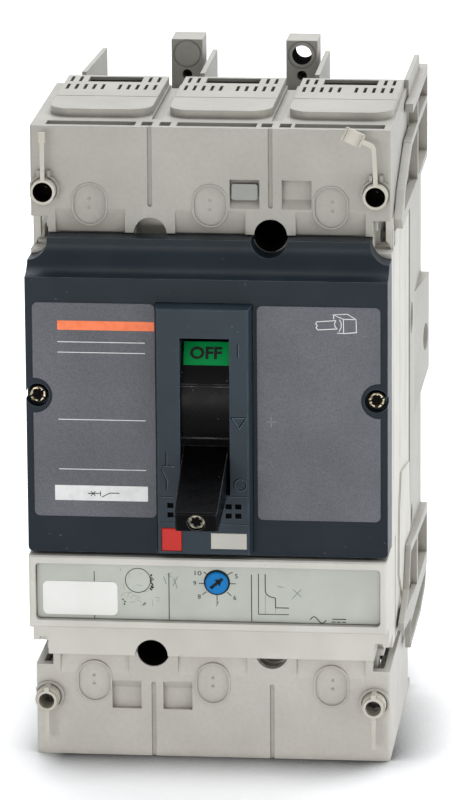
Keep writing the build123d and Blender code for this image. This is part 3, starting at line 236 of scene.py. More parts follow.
# The grain of such mouldings is taken as about 0.1 mm. It is drawn three to five times coarser, so that
# it shows.
finishes = {
    # glass-filled polyester: chalky warm grey with brown grime and painted shade in the corners, and pale
    # rubbed edges with painted highlights
    "case_plastic": agedPlastic("glass-filled polyester, moulded", {
        "colour": "#d0cdc4", "shade": "#c6c3ba", "rough": 0.5, "specks": 0.6, "speckColour": "#5f5a52",
        "dirtAndShade": 0.7, "dirtAndShadeColour": "#62594b", "grain": 0.14, "edgeWearAndHighlight": 0.35, "edgeRubAndHighlightColour": "#e9e5dc"}),
    # polycarbonate with a satin mould: smoother and a shade greyer than the case
    "shield_plastic": agedPlastic("polycarbonate, moulded satin", {
        "colour": "#aeaba2", "shade": "#a3a097", "rough": 0.42, "mottle": 0.1, "mottleMm": 1.4,
        "mottleColour": "#8d857a", "cloudMm": 18, "specular": 0.4, "specks": 0.65, "speckColour": "#6b655c",
        "dirtAndShade": 0.75, "dirtAndShadeColour": "#5f574c", "dirtAndShadeMm": 2.6, "grain": 0.08, "edgeWearAndHighlight": 0.5,
        "edgeRubAndHighlightColour": "#e2dfd8"}),
    # the lower shield is the same plastic, drawn a shade paler to match its tone in the photograph
    # painted light: this paler copy of the shield plastic stands in for more light falling on the lower shield
    "lower_shield": agedPlastic("polycarbonate, moulded satin, painted lighter", {
        "colour": "#c7c3bb", "shade": "#bdb9b1", "rough": 0.42, "mottle": 0.08, "mottleMm": 1.4,
        "mottleColour": "#968f84", "cloudMm": 18, "specular": 0.4, "specks": 0.65, "speckColour": "#6b655c",
        "dirtAndShade": 0.7, "dirtAndShadeColour": "#665e52", "dirtAndShadeMm": 2.6, "grain": 0.08, "edgeWearAndHighlight": 0.5,
        "edgeRubAndHighlightColour": "#e6e3dd"}),
    # soft tear-off seal: slightly yellow, darkened along its edges by dirt and painted shade, its rubbed rims
    # pale and also painted as highlights
    "seal_plastic": agedPlastic("polycarbonate seal, moulded", {
        "colour": "#cbc6ba", "shade": "#bbb5a6", "rough": 0.45, "dirtAndShade": 0.6, "dirtAndShadeColour": "#6d6350",
        "dirtAndShadeMm": 1.2, "grain": 0.06, "edgeWearAndHighlight": 0.7, "edgeRubAndHighlightColour": "#efece4", "edgeMm": 0.25}),
    # dark blue-grey cover: half gloss with a fine leather grain, edges rubbed pale and painted with pale
    # highlights, and painted shade in its corners
    "cover_plastic": agedPlastic("polyester cover, moulded dark", {
        "colour": "#1e272e", "shade": "#192229", "rough": 0.36, "polish": 0.1, "specular": 0.14, "specks": 0.5,
        "speckColour": "#8a949b", "speckMm": 3.2, "dirtAndShade": 0.3, "dirtAndShadeColour": "#151a1e", "grain": 0.18,
        "grainMm": 0.5, "edgeWearAndHighlight": 0.6, "edgeRubAndHighlightColour": "#8795a0"}),
    # the handle's surround: same plastic, a shade paler and cleaner
    "escutcheon": agedPlastic("polyester surround, moulded dark", {
        "colour": "#2d3840", "shade": "#28323a", "rough": 0.34, "polish": 0.08, "specular": 0.18, "specks": 0.5,
        "speckColour": "#8a949b", "speckMm": 3.0, "dirtAndShade": 0.4, "dirtAndShadeColour": "#10151a", "dirtAndShadeMm": 1.2,
        "grain": 0.14, "grainMm": 0.5, "edgeWearAndHighlight": 0.5, "edgeRubAndHighlightColour": "#8c9aa5"}),
    # grained film on the cover: matt mid grey
    "label_plastic": agedPlastic("polyester film, printed grained", {
        "colour": "#707176", "shade": "#65666a", "rough": 0.55, "specular": 0.12, "specks": 0.4, "mottle": 0.3,
        "mottleMm": 0.4, "mottleColour": "#3c3d40", "cloudMm": 22,
        "speckColour": "#a0a1a4", "speckMm": 2.8, "grain": 0.35, "grainMm": 0.45}),
    "tile_plastic": agedPlastic("ABS tile, moulded", {  # plain insert, a little glossy
        "colour": "#bab8af", "shade": "#aeaca3", "rough": 0.42, "dirtAndShade": 0.5, "dirtAndShadeColour": "#77715f",
        "grain": 0.06}),
    # the tile in the upper window is greener and duller
    "window_tile": agedPlastic("ABS tile, moulded matt", {
        "colour": "#a3a59f", "shade": "#989a94", "rough": 0.5, "specular": 0.3, "dirtAndShade": 0.5,
        "dirtAndShadeColour": "#5d5c52", "grain": 0.06}),
    # printed panel behind the trip frame: cool greenish grey with scuffs, and painted shade in its corners
    # along the frame
    "panel_plastic": agedPlastic("polycarbonate panel, printed", {
        "colour": "#bfc2b9", "shade": "#b4b7ae", "specular": 0.3, "rough": 0.4, "specks": 0.6,
        "speckColour": "#3f423f", "dirtAndShade": 0.6, "dirtAndShadeColour": "#565a56", "dirtAndShadeMm": 1.6, "grain": 0.05}),
    "sticker": agedPlastic("paper label, coated", {  # white paper, lightly soiled
        "colour": "#efeeea", "shade": "#e6e5e0", "rough": 0.5, "specks": 0.3, "speckColour": "#a39d90",
        "grain": 0.05}),
    # black nylon of the handle: dark and half glossy, with pale nicks, and pale rubbed edges that are also
    # painted highlights
    "black_plastic": agedPlastic("nylon, moulded black", {
        "colour": "#050506", "shade": "#030304", "rough": 0.28, "polish": 0.1, "specular": 0.07, "specks": 0.8,
        "speckColour": "#6b6b6d", "speckMm": 3.0, "grain": 0.12, "edgeWearAndHighlight": 0.85, "edgeRubAndHighlightColour": "#8d8e90"}),
    "green_plastic": agedPlastic("polyester film, green printed", {
        "colour": "#008f48", "shade": "#00823f", "rough": 0.45, "specular": 0.1, "grain": 0.04}),
    # the dial: painted shade darkens its rim where it sits in the panel
    "blue_plastic": agedPlastic("polycarbonate dial, moulded blue", {
        "colour": "#0b78bd", "shade": "#0a6cae", "rough": 0.35, "specular": 0.15, "dirtAndShade": 0.8,
        "dirtAndShadeColour": "#10151a", "dirtAndShadeMm": 0.8, "grain": 0.05}),
    "red_plastic": agedPlastic("ABS button, moulded red", {
        "colour": "#cc3029", "shade": "#be2a24", "rough": 0.38, "specular": 0.2, "dirtAndShade": 0.5,
        "dirtAndShadeColour": "#5d1512", "dirtAndShadeMm": 1.0, "grain": 0.06}),
    "steel": platedMetal("steel, zinc plated", {"colour": "#8f8f8c", "shade": "#6f6e6a", "rough": 0.35}),
    "dark_screw": platedMetal("steel screw, black oxide", {
        "colour": "#2c2a27", "shade": "#1b1a18", "rough": 0.42}),
    "terminal_metal": platedMetal("copper bar, tin plated", {
        "colour": "#b9b7b0", "shade": "#98958c", "rough": 0.32}),
}
inks = {
    "white": printedInk("screen ink, white", "#e6e6e4", "#d6d7d6", fadeMm=4),
    "orange": printedInk("screen ink, orange", "#fb8558", "#f47b4e", fadeMm=2),
    "black": printedInk("screen ink, black", "#0b0c0c", "#1d1e1f"),
    "grey": printedInk("pencil scuff, grey", "#6d706e", "#8b8e8b"),
    # painted shade for the escutcheon's cut lines, and painted highlight for their lit edges
    "grooveShade": printedInk("polyester cover, cut line", "#0c1115", "#12181c", specular=0.05),
    "grooveHighlight": printedInk("polyester cover, lit edge of a cut line", "#5f6e79", "#4d5a64"),
    # painted shade: a near black laid into recesses, holes and vents
    "paintedShade": printedInk("moulding wall, in deep shade", "#0b0907", "#14100d", 0.8, 0.05),
    # pale metal teeth on the screws: plating worn to brass, and painted glints
    "brass": platedMetal("steel screw, plating worn to brass", {
        "colour": "#cdc3aa", "shade": "#5d523c", "rough": 0.32}),
}

slots = {part["node"]: part["material_slot"] for part in frame["record"]["subparts"]}
for nodeName, cadObject in frame["nodes"].items():
    cadObject.data.materials.clear()
    cadObject.data.materials.append(finishes.get(nodeName) or finishes[slots[nodeName]])
print("materials: done")


# Small pieces: every one is a mesh that rides on a body

def addPiece(name, points, faces, finish, body="breaker", smooth=False):
    mesh = bpy.data.meshes.new(name)
    mesh.from_pydata([Vector(p) * mm for p in points], [], faces)
    mesh.validate()
    mesh.materials.append(finish)
    if smooth:
        mesh.polygons.foreach_set("use_smooth", [True] * len(mesh.polygons))
    piece = bpy.data.objects.new(name, mesh)
    bpy.context.scene.collection.objects.link(piece)
    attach(piece, body)
    return piece


def facing(depth):  # a plane of the front: its origin and its right, up and outward directions
    return Vector((0, -depth, 0)), Vector((1, 0, 0)), Vector((0, 0, 1)), Vector((0, -1, 0))


class Sheet:
    # gathers thin plates on one plane into one mesh
    def __init__(self, plane, thick=0.05):
        self.origin, self.right, self.up, self.out = plane
        self.thick = thick
        self.points, self.faces = [], []

    def plate(self, outline):
        start, count = len(self.points), len(outline)
        for height in (0.0, self.thick):
            for x, z in outline:
                self.points.append(self.origin + self.right * x + self.up * z + self.out * height)
        area = sum(outline[i - 1][0] * outline[i][1] - outline[i][0] * outline[i - 1][1]
                   for i in range(count))
        order = list(range(count)) if area > 0 else list(range(count))[::-1]
        self.faces.append([start + count + i for i in order])
        for first, second in zip(order, order[1:] + order[:1]):
            self.faces.append([start + first, start + second, start + count + second, start + count + first])

    def stroke(self, line, width):
        # a ribbon along a line of points, mitred at its corners
        dots = [Vector(p) for p in line]
        left, right = [], []
        for i, dot in enumerate(dots):
            before = dots[i - 1] if i else None
            after = dots[i + 1] if i < len(dots) - 1 else None
            first = (dot - before).normalized() if before is not None else (after - dot).normalized()
            second = (after - dot).normalized() if after is not None else first
            side = Vector((-first.y - second.y, first.x + second.x))
            side = side.normalized() * width / 2 / max(0.4, side.length / 2)
            left.append(dot + side)
            right.append(dot - side)
        for i in range(len(dots) - 1):
            self.plate([tuple(p) for p in (right[i], right[i + 1], left[i + 1], left[i])])

    def ring(self, centre, radius, width, sides=36):
        self.stroke([(centre[0] + radius * math.cos(2 * math.pi * i / sides),
                      centre[1] + radius * math.sin(2 * math.pi * i / sides)) for i in range(sides + 1)], width)

    def finish(self, name, finish, slot, body="breaker"):
        return addPiece(name, self.points, self.faces, finish, body)


inkRise = 0.05  # how far words stand on their face, thicker than real ink so that both stay apart


def addWords(name, words, centre, size, plane, finish, body="breaker", bold=0.0):
    # words as a thin mesh, scaled to fill the given width and height
    origin, right, up, out = plane
    curve = bpy.data.curves.new(name, "FONT")
    curve.body = words
    curve.size = 1.0
    curve.offset = bold
    curve.resolution_u = 3
    holder = bpy.data.objects.new(name + "Curve", curve)
    bpy.context.scene.collection.objects.link(holder)
    bpy.context.view_layer.update()
    flat = bpy.data.meshes.new_from_object(holder.evaluated_get(bpy.context.evaluated_depsgraph_get()))
    bpy.data.objects.remove(holder)
    xs = [v.co.x for v in flat.vertices]
    ys = [v.co.y for v in flat.vertices]
    wide, tall = max(xs) - min(xs), max(ys) - min(ys)
    points = [origin + right * (centre[0] + ((v.co.x - min(xs)) / wide - 0.5) * size[0])
              + up * (centre[1] + ((v.co.y - min(ys)) / tall - 0.5) * size[1]) + out * inkRise
              for v in flat.vertices]
    faces = [list(p.vertices) for p in flat.polygons]
    return addPiece(name, points, faces, finish, body)


labelPlane, escutcheonPlane, panelPlane = facing(126.3), facing(131.0), facing(125.8)
handleAngle = math.radians(19.4)  # the handle at rest points this far below the level
handleAxis = Vector((0, -math.cos(handleAngle), -math.sin(handleAngle)))
handleUp = Vector((0, -math.sin(handleAngle), math.cos(handleAngle)))
pivot = Vector((0, -86, 13))


def handlePlane(reach):
    return pivot + handleAxis * reach, Vector((1, 0, 0)), handleUp, handleAxis


# Left label: stripe, rules and a small box with the disconnector sign
leftLabel = {"stripe": (-43.1, 37.05, -14.95, 39.8), "rules": (33.5, 30.4, 10.35, -4.53),
             "ruleFrom": -43.1, "ruleTo": -17.7, "box": (-44.4, -13.9, -17.25, -9.4), "ruleWidth": 0.22,
             "signLift": 0.06, "sign": ([(-34.8, -11.75), (-31.3, -11.7)], [(-33.9, -11.1), (-32.6, -12.4)],
                                        [(-33.9, -12.4), (-32.6, -11.1)], [(-31.1, -11.0), (-31.1, -12.5)],
                                        [(-30.7, -12.8), (-28.4, -11.55), (-25.6, -11.55)])}


def rectangle(x0, z0, x1, z1):
    return [(x0, z0), (x1, z0), (x1, z1), (x0, z1)]


stripe = Sheet(labelPlane)
stripe.plate(rectangle(*leftLabel["stripe"]))
stripe.finish("labelStripe", inks["orange"], "label_plastic")
rules = Sheet(labelPlane)
for height in leftLabel["rules"]:
    rules.stroke([(leftLabel["ruleFrom"], height), (leftLabel["ruleTo"], height)], leftLabel["ruleWidth"])
rules.plate(rectangle(*leftLabel["box"]))
rules.finish("labelRules", inks["white"], "label_plastic")
sign = Sheet((labelPlane[0] + labelPlane[3] * leftLabel["signLift"],) + labelPlane[1:])
for line in leftLabel["sign"]:
    sign.stroke(line, leftLabel["ruleWidth"])
sign.finish("disconnectorSign", inks["black"], "label_plastic")

# Right label: outline of a cable in its lug, and a small raised cross
rightLabel = {
    "line": 0.24, "cross": (18.8, 10.68), "crossArm": 1.5, "crossLine": 0.3,
    "lug": ([(39.75, 41.6), (43.4, 41.6), (43.5, 37.75), (39.8, 37.4), (39.75, 41.6)],
            [(39.75, 41.6), (36.85, 42.9), (40.9, 43.15), (43.4, 41.6)],
            [(36.85, 42.9), (37.0, 41.6)], [(37.9, 37.5), (39.8, 37.4)],
            [(32.1, 40.75), (37.6, 41.2)], [(32.4, 38.35), (38.0, 38.75)],
            [(37.6, 41.2), (37.2, 40.4), (37.3, 39.4), (38.0, 38.75)],
            [(38.6, 41.5), (39.1, 40.6), (39.1, 39.2), (38.5, 38.0)],
            [(32.1, 40.75), (31.75, 40.2), (32.25, 39.6), (31.85, 39.0), (32.4, 38.35)])}
lug = Sheet(labelPlane)
for line in rightLabel["lug"]:
    lug.stroke(line, rightLabel["line"])
lug.finish("lugDiagram", inks["white"], "label_plastic")
cross = Sheet(labelPlane)
cx, cz = rightLabel["cross"]
arm = rightLabel["crossArm"]
cross.stroke([(cx - arm, cz), (cx + arm, cz)], rightLabel["crossLine"])
cross.stroke([(cx, cz - arm), (cx, cz + arm)], rightLabel["crossLine"])
cross.finish("labelCross", printedInk("polyester film, raised line", "#83858a", "#74767a"), "label_plastic")

# Trip panel: dividing lines, a ring, the dial's numbers and ticks, the tripping curve and current signs
dialLook = {
    "centre": (2.6, -38.0), "ring": 3.62, "ringLine": 0.45, "tickLine": 0.22, "numberHeight": 1.35,
    "oneDigit": 0.85, "twoDigits": 2.0,
    "numbers": {"5": (8.3, -36.0), "6": (7.8, -42.5), "7": (2.65, -44.5), "8": (-2.6, -42.4),
                "9": (-3.9, -38.35), "10": (-2.9, -35.3)},
    "ticks": (((-1.25, -34.9), (-0.3, -35.65)), ((-2.7, -38.4), (-1.2, -38.4)), ((-1.7, -41.8), (-0.5, -40.9)),
              ((2.6, -41.8), (2.6, -43.5)), ((5.6, -40.9), (6.8, -42.0)), ((6.4, -38.3), (8.1, -38.3)),
              ((5.7, -35.6), (7.2, -34.8)))}
panelLook = {
    "dividers": (-33.35, -11.45, 12.7), "dividerTop": -35.4, "dividerFoot": -49.6, "dividerLine": 0.22,
    "ring": (-20.55, -37.9), "ringRadius": 3.66, "thinLine": 0.2,
    "axes": [(14.75, -35.1), (14.7, -47.35), (23.6, -47.3)], "curveLine": 0.24,
    "curve": [(16.7, -35.2), (16.72, -40.5), (17.1, -41.3), (18.1, -42.0), (19.65, -42.35), (19.72, -45.3),
              (23.6, -45.3)],
    "dashTops": ((16.7, -41.6), (19.73, -45.6)), "dashFoot": -47.1, "dash": 0.35, "dashStep": 0.75,
    "dashLine": 0.12, "wave": (29.75, -48.7), "waveLength": 4.7, "waveHeight": 0.95, "signLine": 0.26,
    "bar": [(36.2, -48.35), (40.3, -48.35)], "barDashes": (36.1, 37.6, 39.1), "barDash": 1.1,
    "barDashHeight": -49.2}
panelInk = Sheet(panelPlane)
for x in panelLook["dividers"]:
    panelInk.stroke([(x, panelLook["dividerTop"]), (x, panelLook["dividerFoot"])], panelLook["dividerLine"])
panelInk.ring(panelLook["ring"], panelLook["ringRadius"], panelLook["thinLine"], 48)
panelInk.ring(dialLook["centre"], dialLook["ring"], dialLook["ringLine"], 48)
for tick in dialLook["ticks"]:
    panelInk.stroke(tick, dialLook["tickLine"])
panelInk.stroke(panelLook["axes"], panelLook["thinLine"])
panelInk.stroke(panelLook["curve"], panelLook["curveLine"])
for x, height in panelLook["dashTops"]:
    while height > panelLook["dashFoot"]:
        panelInk.stroke([(x, height), (x, height - panelLook["dash"])], panelLook["dashLine"])
        height -= panelLook["dashStep"]
waveX, waveZ = panelLook["wave"]
panelInk.stroke([(waveX + panelLook["waveLength"] * i / 24,
                  waveZ + panelLook["waveHeight"] * math.sin(2 * math.pi * i / 24)) for i in range(25)],
                panelLook["signLine"])
panelInk.stroke(panelLook["bar"], panelLook["signLine"])
for x in panelLook["barDashes"]:
    height = panelLook["barDashHeight"]
    panelInk.stroke([(x, height), (x + panelLook["barDash"], height)], panelLook["signLine"])
panelInk.finish("panelPrint", inks["black"], "panel_plastic")
for number, place in dialLook["numbers"].items():
    wide = dialLook["twoDigits"] if len(number) == 2 else dialLook["oneDigit"]
    addWords("dialNumber" + number, number, place, (wide, dialLook["numberHeight"]), panelPlane,
             inks["black"])

# Scuffs on the panel: the rub, five specks and six scratches have their places from the photograph,
# the strokes within the rub and the fine scratches are random
scuffLook = {
    "rub": (-16.9, -36.0), "rubStrokes": 16, "rubStep": 0.3, "thick": 0.03,
    "specks": ((-24.8, -45.0), (-24.6, -44.2), (-19.1, -45.0), (-18.7, -44.6), (-25.2, -43.6)),
    "speckLength": 0.4, "speckLine": 0.32,
    "scratches": (((20.3, -38.8), (22.1, -39.1)), ((24.8, -39.6), (27.2, -41.8)),
                  ((27.2, -39.6), (24.4, -42.6)), ((-13.0, -36.5), (-12.2, -38.9)),
                  ((-9.9, -37.2), (-9.0, -40.2)), ((-8.9, -36.5), (-10.3, -39.4))),
    "scratchLine": 0.17, "fineScratches": 26, "fineLine": 0.07}
random.seed(7)
scuffs = Sheet(panelPlane, scuffLook["thick"])
for i in range(scuffLook["rubStrokes"]):
    x = scuffLook["rub"][0] + random.uniform(-0.2, 0.5)
    z = scuffLook["rub"][1] - scuffLook["rubStep"] * i + random.uniform(-0.1, 0.1)
    scuffs.stroke([(x, z), (x + random.uniform(0.2, 0.7), z - random.uniform(0.1, 0.6))],
                  random.uniform(0.2, 0.42))
for x, z in scuffLook["specks"]:
    scuffs.stroke([(x, z), (x + scuffLook["speckLength"], z - scuffLook["speckLength"])],
                  scuffLook["speckLine"])
scuffs.finish("panelScuffs", inks["black"], "panel_plastic")
scratches = Sheet(panelPlane, scuffLook["thick"])
for scratch in scuffLook["scratches"]:
    scratches.stroke(scratch, scuffLook["scratchLine"])
for i in range(scuffLook["fineScratches"]):
    x, z, turn = random.uniform(-26, -8), random.uniform(-46, -34.5), random.uniform(0, math.pi)
    length = random.uniform(0.5, 2.2)
    scratches.stroke([(x, z), (x + length * math.cos(turn), z + length * math.sin(turn))],
                     scuffLook["fineLine"])
scratches.finish("panelScratches", inks["grey"], "panel_plastic")

# Black arrow in the dial's slot
arrowLook = {"turn": math.radians(40), "centre": dialLook["centre"], "depth": 126.15}


def turned(points, centre, turn):
    return [(centre[0] + x * math.cos(turn) - z * math.sin(turn),
             centre[1] + x * math.sin(turn) + z * math.cos(turn)) for x, z in points]


arrow = Sheet(facing(arrowLook["depth"]))
for outline in ([(-2.25, -0.42), (0.5, -0.42), (0.5, 0.42), (-2.25, 0.42)],
                [(0.25, 1.1), (0.25, -1.1), (2.2, 0.0)]):
    arrow.plate(turned(outline, arrowLook["centre"], arrowLook["turn"]))
arrow.finish("dialArrow", inks["black"], "blue_plastic", "dial")

# Signs cut into the escutcheon, each drawn as a dark line of painted shade with a pale one of painted highlight
# beside it, where its edge takes the light
signLook = {
    "lines": ([(9.6, 34.9), (9.6, 30.9)], [(7.6, 13.0), (11.95, 13.0), (9.75, 9.75), (7.6, 13.0)],
              [(-11.35, 2.4), (-11.35, -1.65)], [(-12.5, -1.67), (-9.65, -1.67)],
              [(-12.8, -2.7), (-11.3, -5.9), (-11.3, -8.8)]),
    "cut": 0.38, "edge": 0.14, "edgeRight": 0.25, "edgeDown": 0.16,
    "ring": (10.1, -7.0), "ringEdge": (10.32, -7.17), "ringRadius": 1.75,
    "rules": ((-13.6, -9.2, -10.95), (6.2, 12.5, -10.55), (-13.6, -9.4, -18.7), (4.0, 12.5, -18.85)),
    "ruleCut": 0.18, "ruleEdge": 0.1}
cutShades, lit = Sheet(escutcheonPlane, 0.02), Sheet(escutcheonPlane, 0.03)
for line in signLook["lines"]:
    cutShades.stroke(line, signLook["cut"])
    lit.stroke([(x + signLook["edgeRight"], z - signLook["edgeDown"]) for x, z in line], signLook["edge"])
cutShades.ring(signLook["ring"], signLook["ringRadius"], signLook["cut"])
lit.ring(signLook["ringEdge"], signLook["ringRadius"], signLook["edge"])
for x0, x1, z in signLook["rules"]:
    edgeHeight = z - signLook["edgeDown"]
    cutShades.stroke([(x0, z), (x1, z)], signLook["ruleCut"])
    lit.stroke([(x0, edgeHeight), (x1, edgeHeight)], signLook["ruleEdge"])
cutShades.finish("escutcheonSignShades", inks["grooveShade"], "cover_plastic")
lit.finish("escutcheonSignHighlights", inks["grooveHighlight"], "cover_plastic")
# painted shade: dark plates at the floor of the escutcheon's vents
ventLook = {"columns": (-10.2, 3.7, 6.7, 9.5), "rows": (-13.6, -16.4), "halfWidth": 0.93, "halfHeight": 0.78}
vents = Sheet(facing(129.8))
for x in ventLook["columns"]:
    for z in ventLook["rows"]:
        vents.plate(rectangle(x - ventLook["halfWidth"], z - ventLook["halfHeight"],
                              x + ventLook["halfWidth"], z + ventLook["halfHeight"]))
vents.finish("escutcheonVentShades", inks["paintedShade"], "cover_plastic")

# The word on the green flag, square to the shutter at 24 degrees above the level
flagLook = {"angle": math.radians(24.15), "reach": 42.72, "centre": (-0.15, 0.1), "size": (9.3, 3.7),
            "bold": 0.035}
flagOut = Vector((0, -math.cos(flagLook["angle"]), math.sin(flagLook["angle"])))
flagUp = Vector((0, math.sin(flagLook["angle"]), math.cos(flagLook["angle"])))
flagPlane = (pivot + flagOut * flagLook["reach"], Vector((1, 0, 0)), flagUp, flagOut)
addWords("offWord", "OFF", flagLook["centre"], flagLook["size"], flagPlane, inks["black"],
         "toggle", flagLook["bold"])
print("prints: done")


# Screws: a dark star recess of painted shade inside a toothed rim where the plating is worn to brass, its pale
# teeth also painted glints
def wornScrewWithShadeAndGlints(name, centre, plane, radius, body, slot, turn):
    star, rim = Sheet(plane, 0.04), Sheet(plane, 0.06)
    lobes = [(turn + math.pi * i / 12, radius * (0.62 + 0.13 * math.cos(i * math.pi / 2))) for i in range(24)]
    star.plate([(centre[0] + r * math.cos(a), centre[1] + r * math.sin(a)) for a, r in lobes])
    star.finish(name + "RecessShade", inks["paintedShade"], slot, body)
    random.seed(int(abs(centre[0]) * 10))
    for i in range(24):
        if random.random() < 0.22:
            continue
        a = turn + 2 * math.pi * i / 24
        inner = radius * random.uniform(0.64, 0.8)
        outer = radius * random.uniform(0.88, 0.99)
        half = random.uniform(0.08, 0.14)
        rim.plate([(centre[0] + r * math.cos(a + d), centre[1] + r * math.sin(a + d))
                   for r, d in ((inner, -half), (outer, -half), (outer, half), (inner, half))])
    rim.finish(name + "RimGlints", inks["brass"], slot, body)


screws = {  # centre, plane, radius, body, slot and how far the star is turned
    "leftCoverScrew": ((-49.2, 17.4), facing(124.92), 2.3, "breaker", "dark_screw", 0.3),
    "rightCoverScrew": ((49.2, 17.4), facing(124.92), 2.3, "breaker", "dark_screw", 0.1),
    "toggleScrew": ((0, 0), handlePlane(73.55), 2.45, "toggle", "steel", 0.2)}
for screwName, screw in screws.items():
    wornScrewWithShadeAndGlints(screwName, *screw)

# Two small pips in each oval of the shields
pipLook = {"columns": (-35.2, 0.0, 35.4), "radius": 0.5, "height": 0.3,
           "depthsAndHeights": ((111.5, 72.6), (111.5, 69.9), (114.5, -70.6), (114.5, -73.1))}
pipPoints, pipFaces = [], []


def addCap(centre, radius, height, sides=14, rings=3):
    # a low dome standing on the front at x, depth, z
    start = len(pipPoints)
    pipPoints.append((centre[0], -centre[1] - height, centre[2]))
    for ring in range(1, rings + 1):
        reach = ring / rings
        for i in range(sides):
            a = 2 * math.pi * i / sides
            pipPoints.append((centre[0] + radius * reach * math.cos(a), -centre[1] - height * (1 - reach ** 2),
                              centre[2] + radius * reach * math.sin(a)))
    for i in range(sides):
        pipFaces.append((start, start + 1 + i, start + 1 + (i + 1) % sides))
        for ring in range(rings - 1):
            low, high = start + 1 + ring * sides, start + 1 + (ring + 1) * sides
            pipFaces.append((low + i, high + i, high + (i + 1) % sides, low + (i + 1) % sides))


for pole in pipLook["columns"]:
    for depth, z in pipLook["depthsAndHeights"]:
        addCap((pole, depth, z), pipLook["radius"], pipLook["height"])
addPiece("ovalPips", pipPoints, pipFaces, finishes["shield_plastic"], smooth=True)


# painted shade: the linings and sheets below are dark pieces put where the openings have only shade
# Dark linings and sheets. The real part has none that can be seen: they only make the openings look as deep
# as they do in the photograph. Those in the mounting holes nearly close them at their back.
def addShadeLining(name, centre, radius, front, back, slot, openShare, sides=28):
    points, faces = [], []
    for depth, reach in ((front, radius), (back, radius), (back, radius * openShare)):
        points += [(centre[0] + reach * math.cos(2 * math.pi * i / sides), -depth,
                    centre[1] + reach * math.sin(2 * math.pi * i / sides)) for i in range(sides)]
    for ring in (0, 1):
        for i in range(sides):
            j = (i + 1) % sides
            faces.append((ring * sides + i, (ring + 1) * sides + i, (ring + 1) * sides + j, ring * sides + j))
    return addPiece(name, points, faces, inks["paintedShade"], smooth=True)


def lyingAt(height):  # a level plane seen from above
    return Vector((0, 0, height)), Vector((1, 0, 0)), Vector((0, 1, 0)), Vector((0, 0, 1))


shadeLinings = {  # centre, radius, depths of front and back, slot, and the share of the radius open at the back
    "upperHoleShade": ((17.5, 62.5), 4.72, 112, 60, "case_plastic", 0.15),
    "lowerHoleShade": ((-17.5, -62.5), 4.72, 114.4, 60, "case_plastic", 0.15),
    "leftTubeShade": ((-48.15, 75.3), 2.86, 116.2, 109.75, "seal_plastic", 0.15),
    "rightTubeShade": ((48.15, 75.3), 2.86, 116.2, 109.75, "seal_plastic", 0.15),
    "postHoleShade": ((17.5, cadBox[1].z / mm - 4.5), 2.95, 11.3, 0.6, "case_plastic", 0.93)}
for liningName, lining in shadeLinings.items():
    addShadeLining(liningName, *lining)

# painted shade: one row of dark sheets under the shield's vents and one in its rear windows; places are from
# each pole
sheetLook = {"poles": (-35.0, 0.0, 35.0), "thick": 0.2, "underVents": 91.7, "inWindows": 95.3,
             "vents": ((-13.5, -72.5, 15.5, -62.0), (-12.9, -61.9, -8.6, -52.0), (9.2, -61.9, 15.2, -52.0)),
             "windowShift": 1.2, "windowHalf": 7.9, "windowFront": -59.8, "windowBack": -52.8}
ventShadePlates = Sheet(lyingAt(sheetLook["underVents"]), sheetLook["thick"])
for pole in sheetLook["poles"]:
    for x0, y0, x1, y1 in sheetLook["vents"]:
        ventShadePlates.plate(rectangle(pole + x0, y0, pole + x1, y1))
ventShadePlates.finish("ventShadeSheets", inks["paintedShade"], "shield_plastic")
windowShadePlates = Sheet(lyingAt(sheetLook["inWindows"]), sheetLook["thick"])
for pole in sheetLook["poles"]:
    middle = pole + sheetLook["windowShift"]
    windowShadePlates.plate(rectangle(middle - sheetLook["windowHalf"], sheetLook["windowFront"],
                                 middle + sheetLook["windowHalf"], sheetLook["windowBack"]))
windowShadePlates.finish("rearWindowShadeSheets", inks["paintedShade"], "shield_plastic")

# Ribs on the torn tag of the upper right seal
tagLook = {"centre": (41.75, 92.8), "turn": math.radians(-25), "ribs": (-2.6, -1.9, 2.0, 2.6), "rise": 0.35,
           "ribHalfWidth": 0.16, "ribHalfLength": 1.9}
halfWidth, halfLength = tagLook["ribHalfWidth"], tagLook["ribHalfLength"]
ribs = Sheet(facing(116.6), tagLook["rise"])
for x in tagLook["ribs"]:
    ribs.plate(turned(rectangle(x - halfWidth, -halfLength, x + halfWidth, halfLength), tagLook["centre"],
                      tagLook["turn"]))
ribs.finish("tornTagRibs", finishes["seal_plastic"], "seal_plastic")
print("details: done")


# Floor, light and camera

